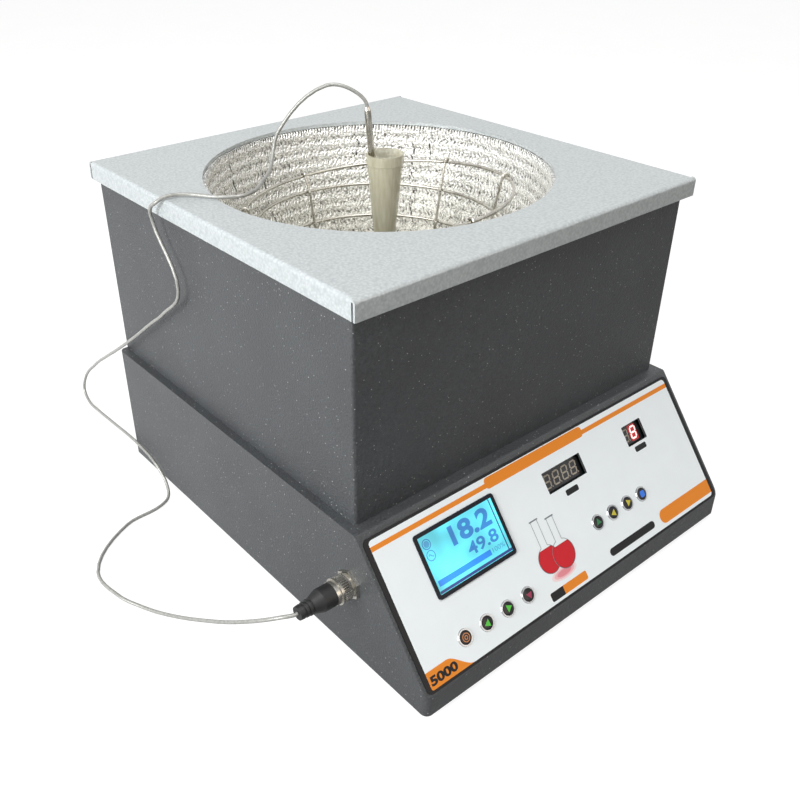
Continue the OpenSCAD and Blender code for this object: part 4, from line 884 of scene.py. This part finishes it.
key_marks = {
    "set": (LEFT_KEYS[0], "#b3703f", 0.16), "up": (LEFT_KEYS[1], "#3fae2a", 0.22),
    "down": (LEFT_KEYS[2], "#3fae2a", 0.22), "enter": (LEFT_KEYS[3], "#8e1f45", 0.16),
    "start": (RIGHT_KEYS[0], "#1f6b3c", 0.16), "raise": (RIGHT_KEYS[1], "#b5a82c", 0.2),
    "lower": (RIGHT_KEYS[2], "#b5a82c", 0.2), "menu": (RIGHT_KEYS[3], "#2366c8", 0.3)}
ARROW_TURN = {"up": 0, "down": 180, "enter": 270, "start": 90, "raise": 0, "lower": 180}
for key, ((u, d), colour, glow) in key_marks.items():
    if key == "set":
        outlines = [round_disc(u, d, r) for r in (3.7, 3.0, 1.8, 1.1)]
    elif key == "menu":
        outlines = [rounded_box(u - 3, d - 3, u + 3, d + 3, 1.6)]
    else:
        outlines = [arrow(u, d, 3.3, ARROW_TURN[key])]
    # The printed marks glow a little though they hold no lamp: painted glow
    print_shape("mark_" + key, outlines,
                lit("mark_" + key + "_print_painted_glow", colour, glow, colour, 0.25), MARK_LEVEL,
                "key_" + key, MARK_T)


# ------------------------------------------------------------ bar and ring on the power rocker

SWITCH_BEZEL_T = 2.0
ROCKER_PIVOT = -3.0
ROCKER_FACE = 5.0
ROCKER_TILT = math.radians(9)
ROCKER_MARK_AT = 5.6
ROCKER_MARK_T = 0.06


def rocker_face(side):
    """The plane of one half of the rocker's face: side 1 is its upper half, -1 its lower."""
    low, high = (Vector(corner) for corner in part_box("switch_frame"))
    rear = Vector(((low.x + high.x) / 2, high.y - SWITCH_BEZEL_T * MM, (low.z + high.z) / 2))
    return (Matrix.Translation(rear)
            @ Matrix.Rotation(math.pi, 4, "Z") @ Matrix.Rotation(math.pi / 2, 4, "X")
            @ Matrix.Translation((0, 0, ROCKER_PIVOT * MM))
            @ Matrix.Rotation(ROCKER_TILT, 4, "X")
            @ Matrix.Translation((0, 0, ROCKER_FACE * MM))
            @ Matrix.Rotation(side * ROCKER_TILT, 4, "X")
            @ Matrix.Translation((0, side * ROCKER_MARK_AT * MM, 0)))


print_shape("rocker_bar", [rounded_box(-0.5, -2, 0.5, 2, 0.2)],
            film_white, 0, "rocker", ROCKER_MARK_T, rocker_face(1))
print_shape("rocker_ring", [round_disc(0, 0, 2.2), round_disc(0, 0, 1.4)],
            film_white, 0, "rocker", ROCKER_MARK_T, rocker_face(-1))


# ---------------------------------------------------------------- bench, lights and world

BENCH_SIDE = 8
BENCH_GLOW = 0.86
# Mirrored light of the bench grows from SHADE_LEFT at the front to all of it at the back
SHADE_FRONT = -0.4
SHADE_BACK = 0.2
SHADE_LEFT = 0.05
ROOM_LIGHT = 0.18
LAMP_AIM = (0, 0.02, 0.15)


def background_rays(tree):
    """1 for a ray from the camera, or one that metal or glass turns back at the surroundings."""
    rays = add(tree, "LightPath").outputs
    return calc(tree, "MAXIMUM",
                calc(tree, "MAXIMUM", rays["Is Camera Ray"], rays["Is Glossy Ray"]),
                rays["Is Transmission Ray"])


def area_light(place, size, power, colour=(1.0, 1.0, 1.0)):
    """A square lamp turned towards the middle of the cabinet."""
    towards = (Vector(LAMP_AIM) - Vector(place)).to_track_quat("-Z", "Y").to_euler()
    bpy.ops.object.light_add(type="AREA", location=place, rotation=towards)
    light = bpy.context.object
    light.data.size = size
    light.data.energy = power
    light.data.color = colour


def studio():
    deselect()
    bpy.ops.mesh.primitive_plane_add(size=BENCH_SIDE, location=(0, 0, 0))
    floor = bpy.context.object
    floor.name = "bench"
    mat, shader = new_material("white_bench", "#8f8f8f", 0.9, Specular_IOR_Level=0.1)
    cloud = grain(mat, 150)
    link(mat, ramp(mat, cloud, 0.3, 0.7, "#8d8d8d", "#939393"), shader.inputs["Base Color"])
    # In front of the cabinet the bench is darker where glossy faces mirror it
    across = add(mat, "SeparateXYZ", {"Vector": object_point(mat)}).outputs["Y"]
    rays = add(mat, "LightPath").outputs
    mirrored = calc(mat, "MULTIPLY", rays["Is Glossy Ray"],
                    spread(mat, across, SHADE_FRONT, SHADE_BACK, SHADE_LEFT, 1))
    seen = calc(mat, "MAXIMUM", mirrored,
                calc(mat, "MAXIMUM", rays["Is Camera Ray"], rays["Is Transmission Ray"]))
    shader.inputs["Emission Color"].default_value = linear("#ffffff")
    link(mat, calc(mat, "MULTIPLY", seen, BENCH_GLOW), shader.inputs["Emission Strength"])
    paint(floor, mat)

    area_light((-2.6, -0.15, 1.1), 1.6, 92)
    area_light((-0.4, -0.5, 2.8), 1.8, 42)
    area_light((0.7, -2.6, 1.2), 1.5, 9, (1.0, 0.84, 0.66))

    world = bpy.data.worlds.new("studio_world")
    bpy.context.scene.world = world
    world.use_nodes = True
    back = world.node_tree.nodes["Background"]
    link(world, spread(world, background_rays(world), 0, 1, ROOM_LIGHT, 1.0),
         back.inputs["Strength"])
    back.inputs["Color"].default_value = linear("#ffffff")
    bpy.context.scene.view_settings.view_transform = "Standard"


studio()
